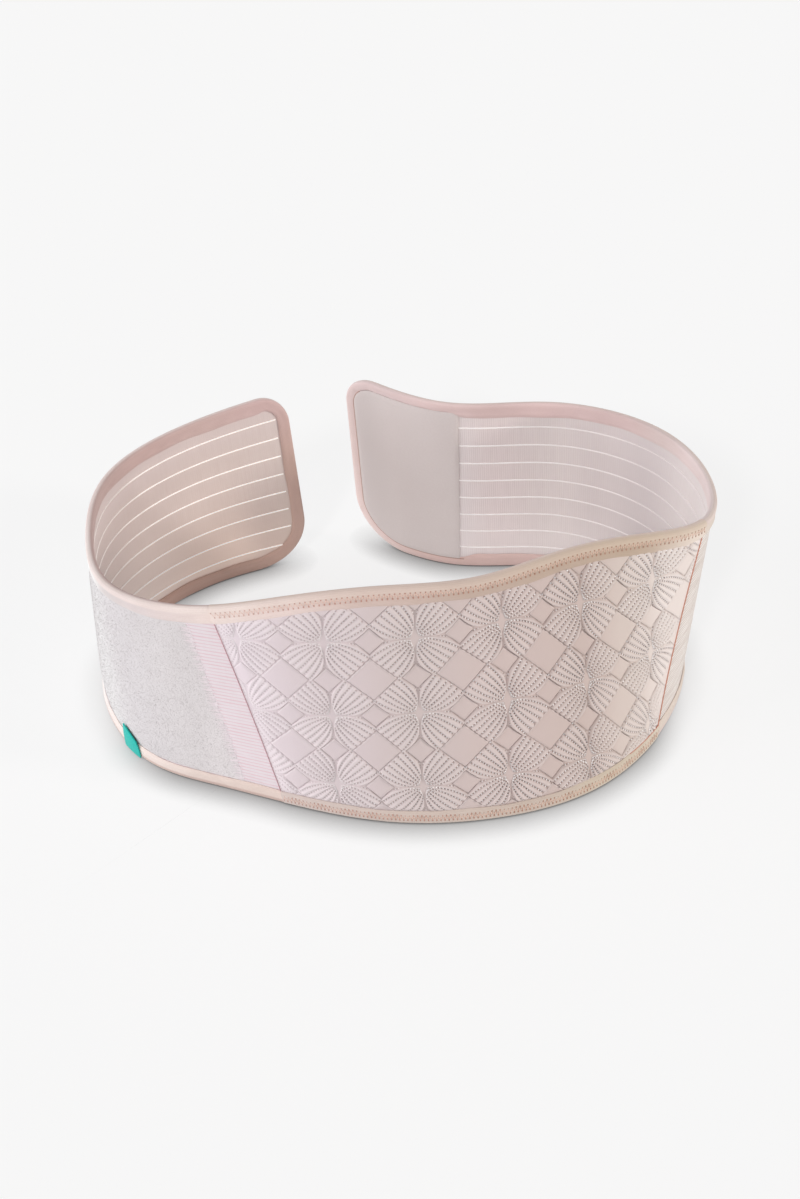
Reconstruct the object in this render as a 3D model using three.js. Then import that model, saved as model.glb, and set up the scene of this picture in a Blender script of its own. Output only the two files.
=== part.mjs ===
// Maternity belly band, standing on its lower edge in an open loop, front towards -Y. Millimetres, +Z up.
import * as THREE from 'three';

// Driving dimensions
const GAP = 0.3;
const WEB_THICK = 1.6;
const PAD_THICK = 3.0;
const PUFF = 2.0;
const PLUSH_THICK = 1.2;
const HOOK_THICK = 1.4;
const TAPE_THICK = 0.9;
const TAPE_OUTER = 10.5;
const TAPE_INNER = 10;
const EDGE_INSET = TAPE_THICK + GAP;

// Steps of the plain walls: along the band, and how many up it
const LINE_STEP = 12;
const PLAIN_ROWS = 4;

// Radii of the free ends' rounded corners, and the steps that turn each of them
const CORNER = { head: 22, foot: 36, steps: 9 };

// White ribs woven into the inner face of the wings: places as shares of the wing's height
const RIB = { count: 8, first: 0.122, pitch: 0.106, wide: 2.0, tall: 0.6 };

// Quilting: its repeat, the lines and rows that carry it, and how soon it flattens towards an edge
const QUILT = { pitch: 50, lines: 48, rows: 24, fade: 3 };

// Bare webbing between the plush patch and the left seam, and where the hook patch starts
const PLUSH_STRIP = 17;
const HOOK_FROM = 425;

// Folded tag over the lower binding of the left wing
const TAG = { from: -190, wide: 13.5, lift: 0.5, tall: 17, thick: 0.8, steps: 2 };

// Standing line of the band from the left end round the front to the right end. Each row is a section:
// its place along the band, its foot and head in plan, its height up the wall, and how far the foot
// lies below the lowest row of quilted flowers.
const SECTIONS = [
  { along: -424, footX: -61, footY: 105, headX: -74, headY: 113, tall: 133, below: 14 },
  { along: -350, footX: -130, footY: 75, headX: -135, headY: 74, tall: 133, below: 14 },
  { along: -285, footX: -176, footY: 25, headX: -176, headY: 24, tall: 133, below: 14 },
  { along: -230, footX: -184, footY: -28, headX: -180, headY: -30, tall: 133, below: 14 },
  { along: -180, footX: -155, footY: -81, headX: -163, headY: -78, tall: 136, below: 15 },
  { along: -130, footX: -109, footY: -104, headX: -119, headY: -100, tall: 139, below: 20 },
  { along: -75, footX: -58, footY: -121, headX: -67, headY: -107, tall: 151, below: 23 },
  { along: -20, footX: -5, footY: -133, headX: -13, headY: -105, tall: 159, below: 26 },
  { along: 40, footX: 56, footY: -130, headX: 44, headY: -91, tall: 157, below: 29 },
  { along: 95, footX: 108, footY: -112, headX: 94, headY: -66, tall: 158, below: 25 },
  { along: 145, footX: 145, footY: -80, headX: 139, headY: -46, tall: 149, below: 20 },
  { along: 190, footX: 169, footY: -40, headX: 176, headY: -23, tall: 138, below: 16 },
  { along: 235, footX: 179, footY: 4, headX: 186, headY: 17, tall: 133, below: 14 },
  { along: 290, footX: 163, footY: 58, headX: 165, headY: 67, tall: 133, below: 14 },
  { along: 360, footX: 105, footY: 96, headX: 98, headY: 99, tall: 133, below: 14 },
  { along: 430, footX: 36, footY: 99, headX: 29, headY: 99, tall: 133, below: 14 },
  { along: 500, footX: -27, footY: 131, headX: -36, headY: 135, tall: 133, below: 14 },
];

// The three stretches of the band, by where each begins and ends on the foot line and on the head line.
// The seams slant, so the panel is wider at the head. A wing's end says which side of it is free.
const STRETCHES = {
  leftWing: { foot: [-424, -85], head: [-424, -115], end: 0 },
  panel: { foot: [-85, 161.5], head: [-115, 190.5], end: null },
  rightWing: { foot: [161.5, 500], head: [190.5, 500], end: 1 },
};

const COLOURS = {
  quilt: 0xe6cbbd,
  leftWeb: 0xc3a293,
  rightWeb: 0xecd2cb,
  plush: 0xdcd6d0,
  hook: 0xd9cdc2,
  panelTape: 0xe8c8b4,
  wingTape: 0xe3bcae,
  tag: 0x3f9aa0,
};

const lerp = THREE.MathUtils.lerp;
const clamp = THREE.MathUtils.clamp;

// Natural cubic spline through one column of the sections
function spline(valueOf) {
  const x = SECTIONS.map((row) => row.along);
  const y = SECTIONS.map(valueOf);
  const last = x.length - 1;
  const bend = new Array(last + 1).fill(0);
  const carry = new Array(last + 1).fill(0);
  for (let i = 1; i < last; i += 1) {
    const share = (x[i] - x[i - 1]) / (x[i + 1] - x[i - 1]);
    const pivot = share * bend[i - 1] + 2;
    const slope = (y[i + 1] - y[i]) / (x[i + 1] - x[i]) - (y[i] - y[i - 1]) / (x[i] - x[i - 1]);
    bend[i] = (share - 1) / pivot;
    carry[i] = ((6 * slope) / (x[i + 1] - x[i - 1]) - share * carry[i - 1]) / pivot;
  }
  for (let i = last - 1; i > 0; i -= 1) {
    bend[i] = bend[i] * bend[i + 1] + carry[i];
  }
  bend[0] = 0;
  return (at) => {
    let i = x.findIndex((edge) => edge >= at);
    i = clamp(i < 0 ? last : i, 1, last);
    const step = x[i] - x[i - 1];
    const a = (x[i] - at) / step;
    const b = 1 - a;
    const curve = (a ** 3 - a) * bend[i - 1] + (b ** 3 - b) * bend[i];
    return a * y[i - 1] + b * y[i] + (curve * step * step) / 6;
  };
}

const footX = spline((row) => row.footX);
const footY = spline((row) => row.footY);
const headX = spline((row) => row.headX);
const headY = spline((row) => row.headY);
const tall = spline((row) => row.tall);
const below = spline((row) => row.below);
const headZ = spline((row) => {
  const lean = Math.hypot(row.headX - row.footX, row.headY - row.footY);
  return Math.sqrt(row.tall ** 2 - lean ** 2);
});

// A point of the wall: along the band, up it as a share of its height, and out from it on the level
function wallPoint(along, share, out) {
  const planX = (at) => lerp(footX(at), headX(at), share);
  const planY = (at) => lerp(footY(at), headY(at), share);
  const half = 0.5;
  const goX = planX(along + half) - planX(along - half);
  const goY = planY(along + half) - planY(along - half);
  const reach = out / Math.hypot(goX, goY);
  const x = planX(along) + goY * reach;
  const y = planY(along) - goX * reach;
  return new THREE.Vector3(x, y, headZ(along) * share);
}

// One stretch of the band. A place on it is a share of its length and millimetres up from the foot.
class Stretch {
  constructor({ foot, head, end }) {
    this.foot = foot;
    this.head = head;
    this.end = end;
    this.length = (foot[1] - foot[0] + head[1] - head[0]) / 2;
  }

  along(part, share) {
    return lerp(lerp(...this.foot, part), lerp(...this.head, part), share);
  }

  share(part, up) {
    const first = up / tall(this.along(part, 0.5));
    return up / tall(this.along(part, first));
  }

  height(part) {
    return tall(this.along(part, 1));
  }

  point(part, up, out) {
    const share = this.share(part, up);
    return wallPoint(this.along(part, share), share, out);
  }

  // Share of the length that lies a distance in from the free end
  fromEnd(distance) {
    const part = distance / this.length;
    return this.end === 1 ? 1 - part : part;
  }

  distance(part) {
    return this.end === 1 ? (1 - part) * this.length : part * this.length;
  }

  // Lines across a wing between two of its parts, in order along the band. All pieces of the wing share
  // the even lines, and lines lie closer together round the free end's corners.
  lines(inset, from = 0, to = 1) {
    const even = Math.ceil((this.length - CORNER.foot) / LINE_STEP);
    const distances = Array.from({ length: even + 1 },
      (_, i) => lerp(CORNER.foot, this.length, i / even));
    for (let i = 0; i < CORNER.steps; i += 1) {
      const turn = (i / CORNER.steps) * (Math.PI / 2);
      distances.push(inset + (CORNER.foot - inset) * (1 - Math.cos(turn)));
    }
    const first = this.end === 0 && from === 0 ? this.fromEnd(inset) : from;
    const last = this.end === 1 && to === 1 ? this.fromEnd(inset) : to;
    const apart = 1 / this.length;
    const between = distances
      .map((distance) => this.fromEnd(distance))
      .filter((part) => part > first + apart && part < last - apart)
      .sort((a, b) => a - b);
    return [first, ...between, last];
  }

  // Lower and upper edges of a piece that stays a distance inside the band's outline
  low(part, inset) {
    return inset + this.rounding(part, inset, CORNER.foot);
  }

  high(part, inset) {
    return this.height(part) - inset - this.rounding(part, inset, CORNER.head);
  }

  rounding(part, inset, radius) {
    if (this.end === null) {
      return 0;
    }
    const round = radius - inset;
    const gone = clamp(radius - this.distance(part), 0, round);
    return round - Math.sqrt(round * round - gone * gone);
  }
}

const leftWing = new Stretch(STRETCHES.leftWing);
const panel = new Stretch(STRETCHES.panel);
const rightWing = new Stretch(STRETCHES.rightWing);

// Gathers points and triangles and turns them into a closed geometry with its faces pointing out
class Shell {
  constructor() {
    this.points = [];
    this.triangles = [];
  }

  add(point) {
    this.points.push(point);
    return this.points.length - 1;
  }

  quad(a, b, c, d) {
    this.triangles.push([a, b, c], [a, c, d]);
  }

  // Fills between two rows of points that may differ in number
  zip(left, right) {
    let i = 0;
    let j = 0;
    while (i < left.length - 1 || j < right.length - 1) {
      const nextLeft = (i + 1) / (left.length - 1);
      const nextRight = (j + 1) / (right.length - 1);
      if (j === right.length - 1 || (i < left.length - 1 && nextLeft < nextRight)) {
        this.triangles.push([left[i], right[j], left[i + 1]]);
        i += 1;
      } else {
        this.triangles.push([left[i], right[j], right[j + 1]]);
        j += 1;
      }
    }
  }

  geometry() {
    let volume = 0;
    for (const [a, b, c] of this.triangles) {
      const cross = new THREE.Vector3().crossVectors(this.points[b], this.points[c]);
      volume += this.points[a].dot(cross);
    }
    const order = volume < 0 ? this.triangles.map(([a, b, c]) => [a, c, b]) : this.triangles;
    const shape = new THREE.BufferGeometry().setFromPoints(this.points);
    shape.setIndex(order.flat());
    return shape;
  }
}

// A wall piece between an inner and an outer face. Rows are heights up from the foot on each line.
function slab(stretch, lines, rows, faces) {
  const shell = new Shell();
  const columnOf = (part, heights, out) =>
    heights.map((up) => shell.add(stretch.point(part, up, out(part, up))));
  const inner = lines.map((part) => columnOf(part, rows.inner(part), faces.inner));
  const outer = lines.map((part) => columnOf(part, rows.outer(part), faces.outer));
  for (let i = 0; i + 1 < lines.length; i += 1) {
    for (let j = 0; j + 1 < outer[i].length; j += 1) {
      shell.quad(outer[i][j], outer[i + 1][j], outer[i + 1][j + 1], outer[i][j + 1]);
    }
    for (let j = 0; j + 1 < inner[i].length; j += 1) {
      shell.quad(inner[i][j], inner[i][j + 1], inner[i + 1][j + 1], inner[i + 1][j]);
    }
    shell.quad(inner[i][0], inner[i + 1][0], outer[i + 1][0], outer[i][0]);
    shell.quad(inner[i].at(-1), outer[i].at(-1), outer[i + 1].at(-1), inner[i + 1].at(-1));
  }
  shell.zip(inner[0], outer[0]);
  shell.zip(outer.at(-1), inner.at(-1));
  return shell.geometry();
}

// Evenly spaced heights between the two edges of a piece
function evenRows(stretch, inset, count) {
  return (part) => {
    const low = stretch.low(part, inset);
    const high = stretch.high(part, inset);
    return Array.from({ length: count + 1 }, (_, j) => lerp(low, high, j / count));
  };
}

// Elastic webbing of a wing, with ribs standing out of its inner face between the bindings
function wingWeb(stretch) {
  const seamGap = GAP / 2 / stretch.length;
  const from = stretch.end === 0 ? 0 : seamGap;
  const to = stretch.end === 1 ? 1 : 1 - seamGap;
  const lines = stretch.lines(EDGE_INSET, from, to);
  const clear = TAPE_INNER + GAP + RIB.wide / 2;

  // Heights of a line's rows: three to a rib, pushed together where a corner leaves them no room
  const crowd = 0.5;
  const ribRows = (part) => {
    const height = stretch.height(part);
    const low = stretch.low(part, EDGE_INSET);
    const high = stretch.high(part, EDGE_INSET);
    const heights = [{ up: low, rib: false }];
    const total = RIB.count * 3;
    for (let k = 0; k < RIB.count; k += 1) {
      const centre = height * (RIB.first + RIB.pitch * k);
      for (let side = -1; side <= 1; side += 1) {
        const index = 3 * k + side + 2;
        const wanted = centre + (side * RIB.wide) / 2;
        const up = clamp(wanted, low + crowd * index, high - crowd * (total + 1 - index));
        const open = centre > low + clear && centre < high - clear;
        heights.push({ up, rib: side === 0 && open });
      }
    }
    heights.push({ up: high, rib: false });
    return heights;
  };
  const ribStarts = (part) =>
    stretch.distance(part) > clear && part > from + seamGap && part < to - seamGap;
  const standsOut = (part, up) => {
    const row = ribRows(part).find((entry) => entry.rib && entry.up === up);
    return row && ribStarts(part) ? RIB.tall : 0;
  };

  const rows = {
    inner: (part) => ribRows(part).map((row) => row.up),
    outer: evenRows(stretch, EDGE_INSET, PLAIN_ROWS),
  };
  const faces = {
    inner: (part, up) => -WEB_THICK / 2 - standsOut(part, up),
    outer: () => WEB_THICK / 2,
  };
  return slab(stretch, lines, rows, faces);
}

// How far the quilting swells at a place on the panel: domes on the flowers and on the large diamonds
// between them, with grooves on the diagonals that part them
function quiltSwell(along, up) {
  const turn = Math.PI / QUILT.pitch;
  const across = along * turn;
  const upwards = (up - below(along)) * turn;
  return PUFF * Math.sqrt(Math.abs(Math.cos(across + upwards) * Math.cos(across - upwards)));
}

// Lines that the panel and its bindings share, from seam to seam
function panelLines() {
  const seamGap = GAP / 2 / panel.length;
  return Array.from({ length: QUILT.lines + 1 }, (_, i) => lerp(seamGap, 1 - seamGap, i / QUILT.lines));
}

// Quilted front panel between the two slanted seams
function quiltPanel() {
  const lines = panelLines();
  const held = TAPE_OUTER + GAP;
  const outerRows = (part) => {
    const low = panel.low(part, held);
    const high = panel.high(part, held);
    const between = Array.from({ length: QUILT.rows + 1 }, (_, j) => lerp(low, high, j / QUILT.rows));
    return [panel.low(part, EDGE_INSET), ...between, panel.high(part, EDGE_INSET)];
  };
  const swell = (part, up) => {
    const fromEdges = Math.min(up - panel.low(part, held), panel.high(part, held) - up,
      (part - lines[0]) * panel.length, (lines.at(-1) - part) * panel.length);
    const along = panel.along(part, panel.share(part, up));
    return quiltSwell(along, up) * clamp(fromEdges / QUILT.fade, 0, 1);
  };
  return slab(panel, lines, { inner: evenRows(panel, EDGE_INSET, PLAIN_ROWS), outer: outerRows }, {
    inner: () => -PAD_THICK / 2,
    outer: (part, up) => PAD_THICK / 2 + swell(part, up),
  });
}

// Patch lying on a wing, inside the frame that the binding makes
function patch(stretch, inset, from, to, innerOut, outerOut) {
  const rows = evenRows(stretch, inset, PLAIN_ROWS);
  const faces = { inner: () => innerOut, outer: () => outerOut };
  return slab(stretch, stretch.lines(inset, from, to), { inner: rows, outer: rows }, faces);
}

// Binding tape folded over an edge: a channel swept along a path whose stops say where they lie on the
// stretch and which way is in from the edge
function binding(stretch, stops, held) {
  const outer = held / 2 + GAP;
  const top = outer + TAPE_THICK;
  const section = [
    [TAPE_OUTER, top], [0, top], [0, -top], [TAPE_INNER, -top],
    [TAPE_INNER, -outer], [TAPE_THICK, -outer], [TAPE_THICK, outer], [TAPE_OUTER, outer],
  ];
  const shell = new Shell();
  const rings = stops.map((stop) => section.map(([inward, out]) => {
    const part = stop.part + (stop.inPart * inward) / stretch.length;
    return shell.add(stretch.point(part, stop.up + stop.inUp * inward, out));
  }));
  for (let i = 0; i + 1 < rings.length; i += 1) {
    section.forEach((_, k) => {
      const next = (k + 1) % section.length;
      shell.quad(rings[i][k], rings[i][next], rings[i + 1][next], rings[i + 1][k]);
    });
  }
  for (const [ring, turned] of [[rings[0], true], [rings.at(-1), false]]) {
    for (const [a, b, c, d] of [[0, 1, 6, 7], [1, 2, 5, 6], [2, 3, 4, 5]]) {
      const corners = [ring[a], ring[b], ring[c], ring[d]];
      shell.quad(...(turned ? corners.reverse() : corners));
    }
  }
  return shell.geometry();
}

// Stops of a binding along the head or the foot of a stretch
function edgeStops(stretch, parts, atHead) {
  return parts.map((part) => ({
    part,
    up: atHead ? stretch.height(part) : 0,
    inPart: 0,
    inUp: atHead ? -1 : 1,
  }));
}

// Stops round one rounded corner of a wing's free end, from the long edge to the end
function cornerStops(stretch, radius, atHead) {
  const inwards = stretch.end === 1 ? -1 : 1;
  return Array.from({ length: CORNER.steps + 1 }, (_, i) => {
    const turn = (i / CORNER.steps) * (Math.PI / 2);
    const part = stretch.fromEnd(radius * (1 - Math.sin(turn)));
    const drop = radius * (1 - Math.cos(turn));
    return {
      part,
      up: atHead ? stretch.height(part) - drop : drop,
      inPart: Math.sin(turn) * inwards,
      inUp: Math.cos(turn) * (atHead ? -1 : 1),
    };
  });
}

// Binding of a panel edge, from seam to seam
function panelBinding(atHead) {
  return binding(panel, edgeStops(panel, panelLines(), atHead), PAD_THICK);
}

// Binding of a wing: out along the head, round the free end and back along the foot
function wingBinding(stretch) {
  const seamGap = GAP / 2 / stretch.length;
  const seam = stretch.end === 0 ? 1 - seamGap : seamGap;
  const runOut = (radius) => {
    const corner = stretch.fromEnd(radius);
    const parts = stretch.lines(0, Math.min(seam, corner), Math.max(seam, corner));
    return (stretch.end === 0 ? parts.reverse() : parts).slice(0, -1);
  };
  const stops = [
    ...edgeStops(stretch, runOut(CORNER.head), true),
    ...cornerStops(stretch, CORNER.head, true),
    ...cornerStops(stretch, CORNER.foot, false).reverse(),
    ...edgeStops(stretch, runOut(CORNER.foot).reverse(), false),
  ];
  return binding(stretch, stops, WEB_THICK);
}

// Plush patch on the outer face of the left wing, from its free end to the bare strip at the seam
function plushPatch() {
  const seat = WEB_THICK / 2 + GAP;
  const to = 1 - PLUSH_STRIP / leftWing.length;
  return patch(leftWing, TAPE_OUTER + GAP, 0, to, seat, seat + PLUSH_THICK);
}

// Hook patch on the inner face of the right wing's free end, lying over the ribs
function hookPatch() {
  const seat = WEB_THICK / 2 + RIB.tall + GAP;
  const middle = (part) => rightWing.along(part, 0.5);
  const from = (HOOK_FROM - middle(0)) / (middle(1) - middle(0));
  return patch(rightWing, TAPE_INNER + GAP, from, 1, -seat - HOOK_THICK, -seat);
}

// Tag lying over the lower binding and the edge of the plush patch
function sideTag() {
  const seat = WEB_THICK / 2 + GAP + PLUSH_THICK + GAP;
  const length = leftWing.foot[1] - leftWing.foot[0];
  const first = (TAG.from - leftWing.foot[0]) / length;
  const lines = Array.from({ length: TAG.steps + 1 },
    (_, i) => first + (TAG.wide / length) * (i / TAG.steps));
  const rows = () => [TAG.lift, TAG.tall];
  const faces = { inner: () => seat, outer: () => seat + TAG.thick };
  return slab(leftWing, lines, { inner: rows, outer: rows }, faces);
}

function piece(name, geometry, color, roughness) {
  const mesh = new THREE.Mesh(geometry, new THREE.MeshStandardMaterial({ color, roughness, metalness: 0 }));
  mesh.name = name;
  return mesh;
}

const band = new THREE.Group();
band.add(
  piece('quilt_panel', quiltPanel(), COLOURS.quilt, 0.85),
  piece('left_wing', wingWeb(leftWing), COLOURS.leftWeb, 0.9),
  piece('right_wing', wingWeb(rightWing), COLOURS.rightWeb, 0.9),
  piece('loop_patch', plushPatch(), COLOURS.plush, 1.0),
  piece('hook_patch', hookPatch(), COLOURS.hook, 0.7),
  piece('panel_top_binding', panelBinding(true), COLOURS.panelTape, 0.85),
  piece('panel_bottom_binding', panelBinding(false), COLOURS.panelTape, 0.85),
  piece('left_wing_binding', wingBinding(leftWing), COLOURS.wingTape, 0.85),
  piece('right_wing_binding', wingBinding(rightWing), COLOURS.wingTape, 0.85),
  piece('side_tag', sideTag(), COLOURS.tag, 0.7),
);

// The origin is at the middle of the band's footprint, on the surface that it stands on
const extent = new THREE.Box3().setFromObject(band, true);
const middle = extent.getCenter(new THREE.Vector3());
band.position.set(-middle.x, -middle.y, -extent.min.z);
band.updateMatrixWorld(true);

export default band;
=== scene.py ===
"""Looks of a soft maternity belly band that stands as an open loop on its lower edge.

Lengths are in millimetres until a point goes into a mesh, which is in metres.
"""

import logging
import math
from dataclasses import astuple, dataclass
from enum import Enum
from typing import Callable, NamedTuple, Optional, Protocol, Sequence, Union

import bpy
import numpy as np
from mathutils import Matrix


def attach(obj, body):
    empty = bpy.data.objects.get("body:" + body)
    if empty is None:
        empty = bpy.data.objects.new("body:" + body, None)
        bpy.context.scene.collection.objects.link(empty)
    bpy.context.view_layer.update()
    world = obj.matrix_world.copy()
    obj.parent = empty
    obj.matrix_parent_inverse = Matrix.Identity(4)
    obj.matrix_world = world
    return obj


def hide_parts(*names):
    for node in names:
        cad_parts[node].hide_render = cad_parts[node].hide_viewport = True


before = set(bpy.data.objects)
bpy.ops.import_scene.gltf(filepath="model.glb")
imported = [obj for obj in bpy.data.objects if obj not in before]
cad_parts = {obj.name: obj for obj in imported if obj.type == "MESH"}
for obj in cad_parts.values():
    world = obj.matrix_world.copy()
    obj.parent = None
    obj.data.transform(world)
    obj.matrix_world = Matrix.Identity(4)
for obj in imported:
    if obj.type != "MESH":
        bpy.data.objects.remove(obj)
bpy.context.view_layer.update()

LOG = logging.getLogger("belly_band")
MM = 0.001
Array = np.ndarray
Piece = bpy.types.Object
Material = bpy.types.Material
Pair = tuple[float, float]
Colour = tuple[float, float, float]
Ramp = tuple[tuple[float, Colour], ...]
Faces = list[Sequence[int]]
Laid = tuple[Array, Array, Faces]
Value = Union[float, "Signal"]
Number = Union[float, Array, "Signal"]
Shade = Union[Colour, "Signal"]


def paint(*screen: float) -> Colour:
    """Turns a screen colour, 0 to 255, into the light values that shaders take."""
    shares = [value / 255.0 for value in screen]
    return tuple(s / 12.92 if s <= 0.04045 else ((s + 0.055) / 1.055) ** 2.4 for s in shares)


def tints(*stops: tuple[float, float, float, float]) -> Ramp:
    """Lists the colours along a piece, each as its place and its screen colour."""
    return tuple((place, paint(*screen)) for place, *screen in stops)


def blend(low: Number, high: Number, share: Number) -> Number:
    """Value that lies a share of the way from one to another."""
    return low + (high - low) * share


def flat_cut(along: Array, up: Array) -> Array:
    """Places on a piece's flat cut, in metres."""
    return np.stack(np.broadcast_arrays(along, up), axis=-1) * MM


def run_length(points: Array) -> Array:
    """Distances along a line of points, from its first."""
    return np.concatenate(((0.0,), np.cumsum(np.linalg.norm(np.diff(points, axis=0), axis=1))))


class FreeEnd(Enum):
    """Which end of a stretch of the band is free."""

    NONE = None
    START = 0
    FINISH = 1


class Edge(Enum):
    """Which long edge of the band a tape folds over."""

    HEAD = "head"
    FOOT = "foot"


class Hold(Enum):
    """How a cut of cloth is held on the band."""

    STRETCHED = "stretched"
    LAID = "laid"
    FOLDED = "folded"


@dataclass(frozen=True)
class Column:
    """One upright line of the band's wall, where it stands and how tall it is."""

    along: float
    foot_x: float
    foot_y: float
    head_x: float
    head_y: float
    tall: float
    below: float


COLUMNS = (
    Column(-424, -61, 105, -74, 113, 133, 14),
    Column(-350, -130, 75, -135, 74, 133, 14),
    Column(-285, -176, 25, -176, 24, 133, 14),
    Column(-230, -184, -28, -180, -30, 133, 14),
    Column(-180, -155, -81, -163, -78, 136, 15),
    Column(-130, -109, -104, -119, -100, 139, 20),
    Column(-75, -58, -121, -67, -107, 151, 23),
    Column(-20, -5, -133, -13, -105, 159, 26),
    Column(40, 56, -130, 44, -91, 157, 29),
    Column(95, 108, -112, 94, -66, 158, 25),
    Column(145, 145, -80, 139, -46, 149, 20),
    Column(190, 169, -40, 176, -23, 138, 16),
    Column(235, 179, 4, 186, 17, 133, 14),
    Column(290, 163, 58, 165, 67, 133, 14),
    Column(360, 105, 96, 98, 99, 133, 14),
    Column(430, 36, 99, 29, 99, 133, 14),
    Column(500, -27, 131, -36, 135, 133, 14),
)


class NaturalSpline:
    """Natural cubic spline through one value of the columns."""

    def __init__(self, knots: Array, values: Array) -> None:
        """Solves for the bend at each knot.

        Args:
            knots: places along the band.
            values: the value at each place.
        """
        steps = np.diff(knots)
        slopes = np.diff(values) / steps
        count = len(knots)
        system = np.eye(count)
        rise = np.zeros(count)
        for i in range(1, count - 1):
            system[i, i - 1 : i + 2] = steps[i - 1], 2 * (steps[i - 1] + steps[i]), steps[i]
            rise[i] = 6 * (slopes[i] - slopes[i - 1])
        self.knots = knots
        self.values = values
        self.bends = np.linalg.solve(system, rise)

    def __call__(self, at: Array) -> Array:
        """Reads the curve.

        Args:
            at: places along the band.

        Returns:
            The value at each place.
        """
        i = np.clip(np.searchsorted(self.knots, at), 1, len(self.knots) - 1)
        step = self.knots[i] - self.knots[i - 1]
        a = (self.knots[i] - at) / step
        b = 1 - a
        curve = (a**3 - a) * self.bends[i - 1] + (b**3 - b) * self.bends[i]
        return a * self.values[i - 1] + b * self.values[i] + curve * step**2 / 6


class BandWall:
    """The curved wall that every piece of the band lies on."""

    def __init__(self, columns: Sequence[Column], shift: Pair) -> None:
        """Runs a spline through each value of the columns.

        Args:
            columns: upright lines of the wall, in order along the band.
            shift: from the columns' plan to the part's own frame.
        """
        along, *values = np.array([astuple(column) for column in columns], float).T
        foot_x, foot_y, head_x, head_y, tall, below = values
        lean = np.hypot(head_x - foot_x, head_y - foot_y)
        self.foot_x = NaturalSpline(along, foot_x + shift[0])
        self.foot_y = NaturalSpline(along, foot_y + shift[1])
        self.head_x = NaturalSpline(along, head_x + shift[0])
        self.head_y = NaturalSpline(along, head_y + shift[1])
        self.head_z = NaturalSpline(along, np.sqrt(tall**2 - lean**2))
        self.tall = NaturalSpline(along, tall)
        self.below = NaturalSpline(along, below)

    def plan(self, along: Array, share: Array) -> tuple[Array, Array]:
        """Reads the wall's plan, x and y, at a share of its height."""
        x = self.foot_x(along) * (1 - share) + self.head_x(along) * share
        return x, self.foot_y(along) * (1 - share) + self.head_y(along) * share

    def point(self, along: Array, share: Array, out: Array) -> Array:
        """Finds points of the wall.

        Args:
            along: places along the band.
            share: shares of the height there.
            out: distances out from the wall, on the level.

        Returns:
            The points, in millimetres, with x, y and z on the last axis.
        """
        along, share, out = np.broadcast_arrays(*(np.asarray(v, float) for v in (along, share, out)))
        x0, y0 = self.plan(along - 0.5, share)
        x1, y1 = self.plan(along + 0.5, share)
        go_x = x1 - x0
        go_y = y1 - y0
        reach = out / np.hypot(go_x, go_y)
        x, y = self.plan(along, share)
        return np.stack((x + go_y * reach, y - go_x * reach, self.head_z(along) * share), axis=-1)


WALL = BandWall(COLUMNS, shift=(0.93, 0.376))


@dataclass(frozen=True)
class Corner:
    """Rounding of a wing's free end."""

    head: float = 22.0
    foot: float = 36.0
    lines: int = 28


CORNER = Corner()


@dataclass(frozen=True)
class Layers:
    """Thicknesses of the cloths, and the gap between one and the next."""

    gap: float = 0.3
    web: float = 1.6
    pad: float = 3.0
    plush: float = 1.2
    hook: float = 1.4
    tape: float = 0.9

    @property
    def edge_inset(self) -> float:
        """How far the cloths stay inside the outline, which the tape folds round."""
        return self.tape + self.gap


LAYERS = Layers()
TAPE_OUTER = 10.5
TAPE_INNER = 10.0


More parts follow.
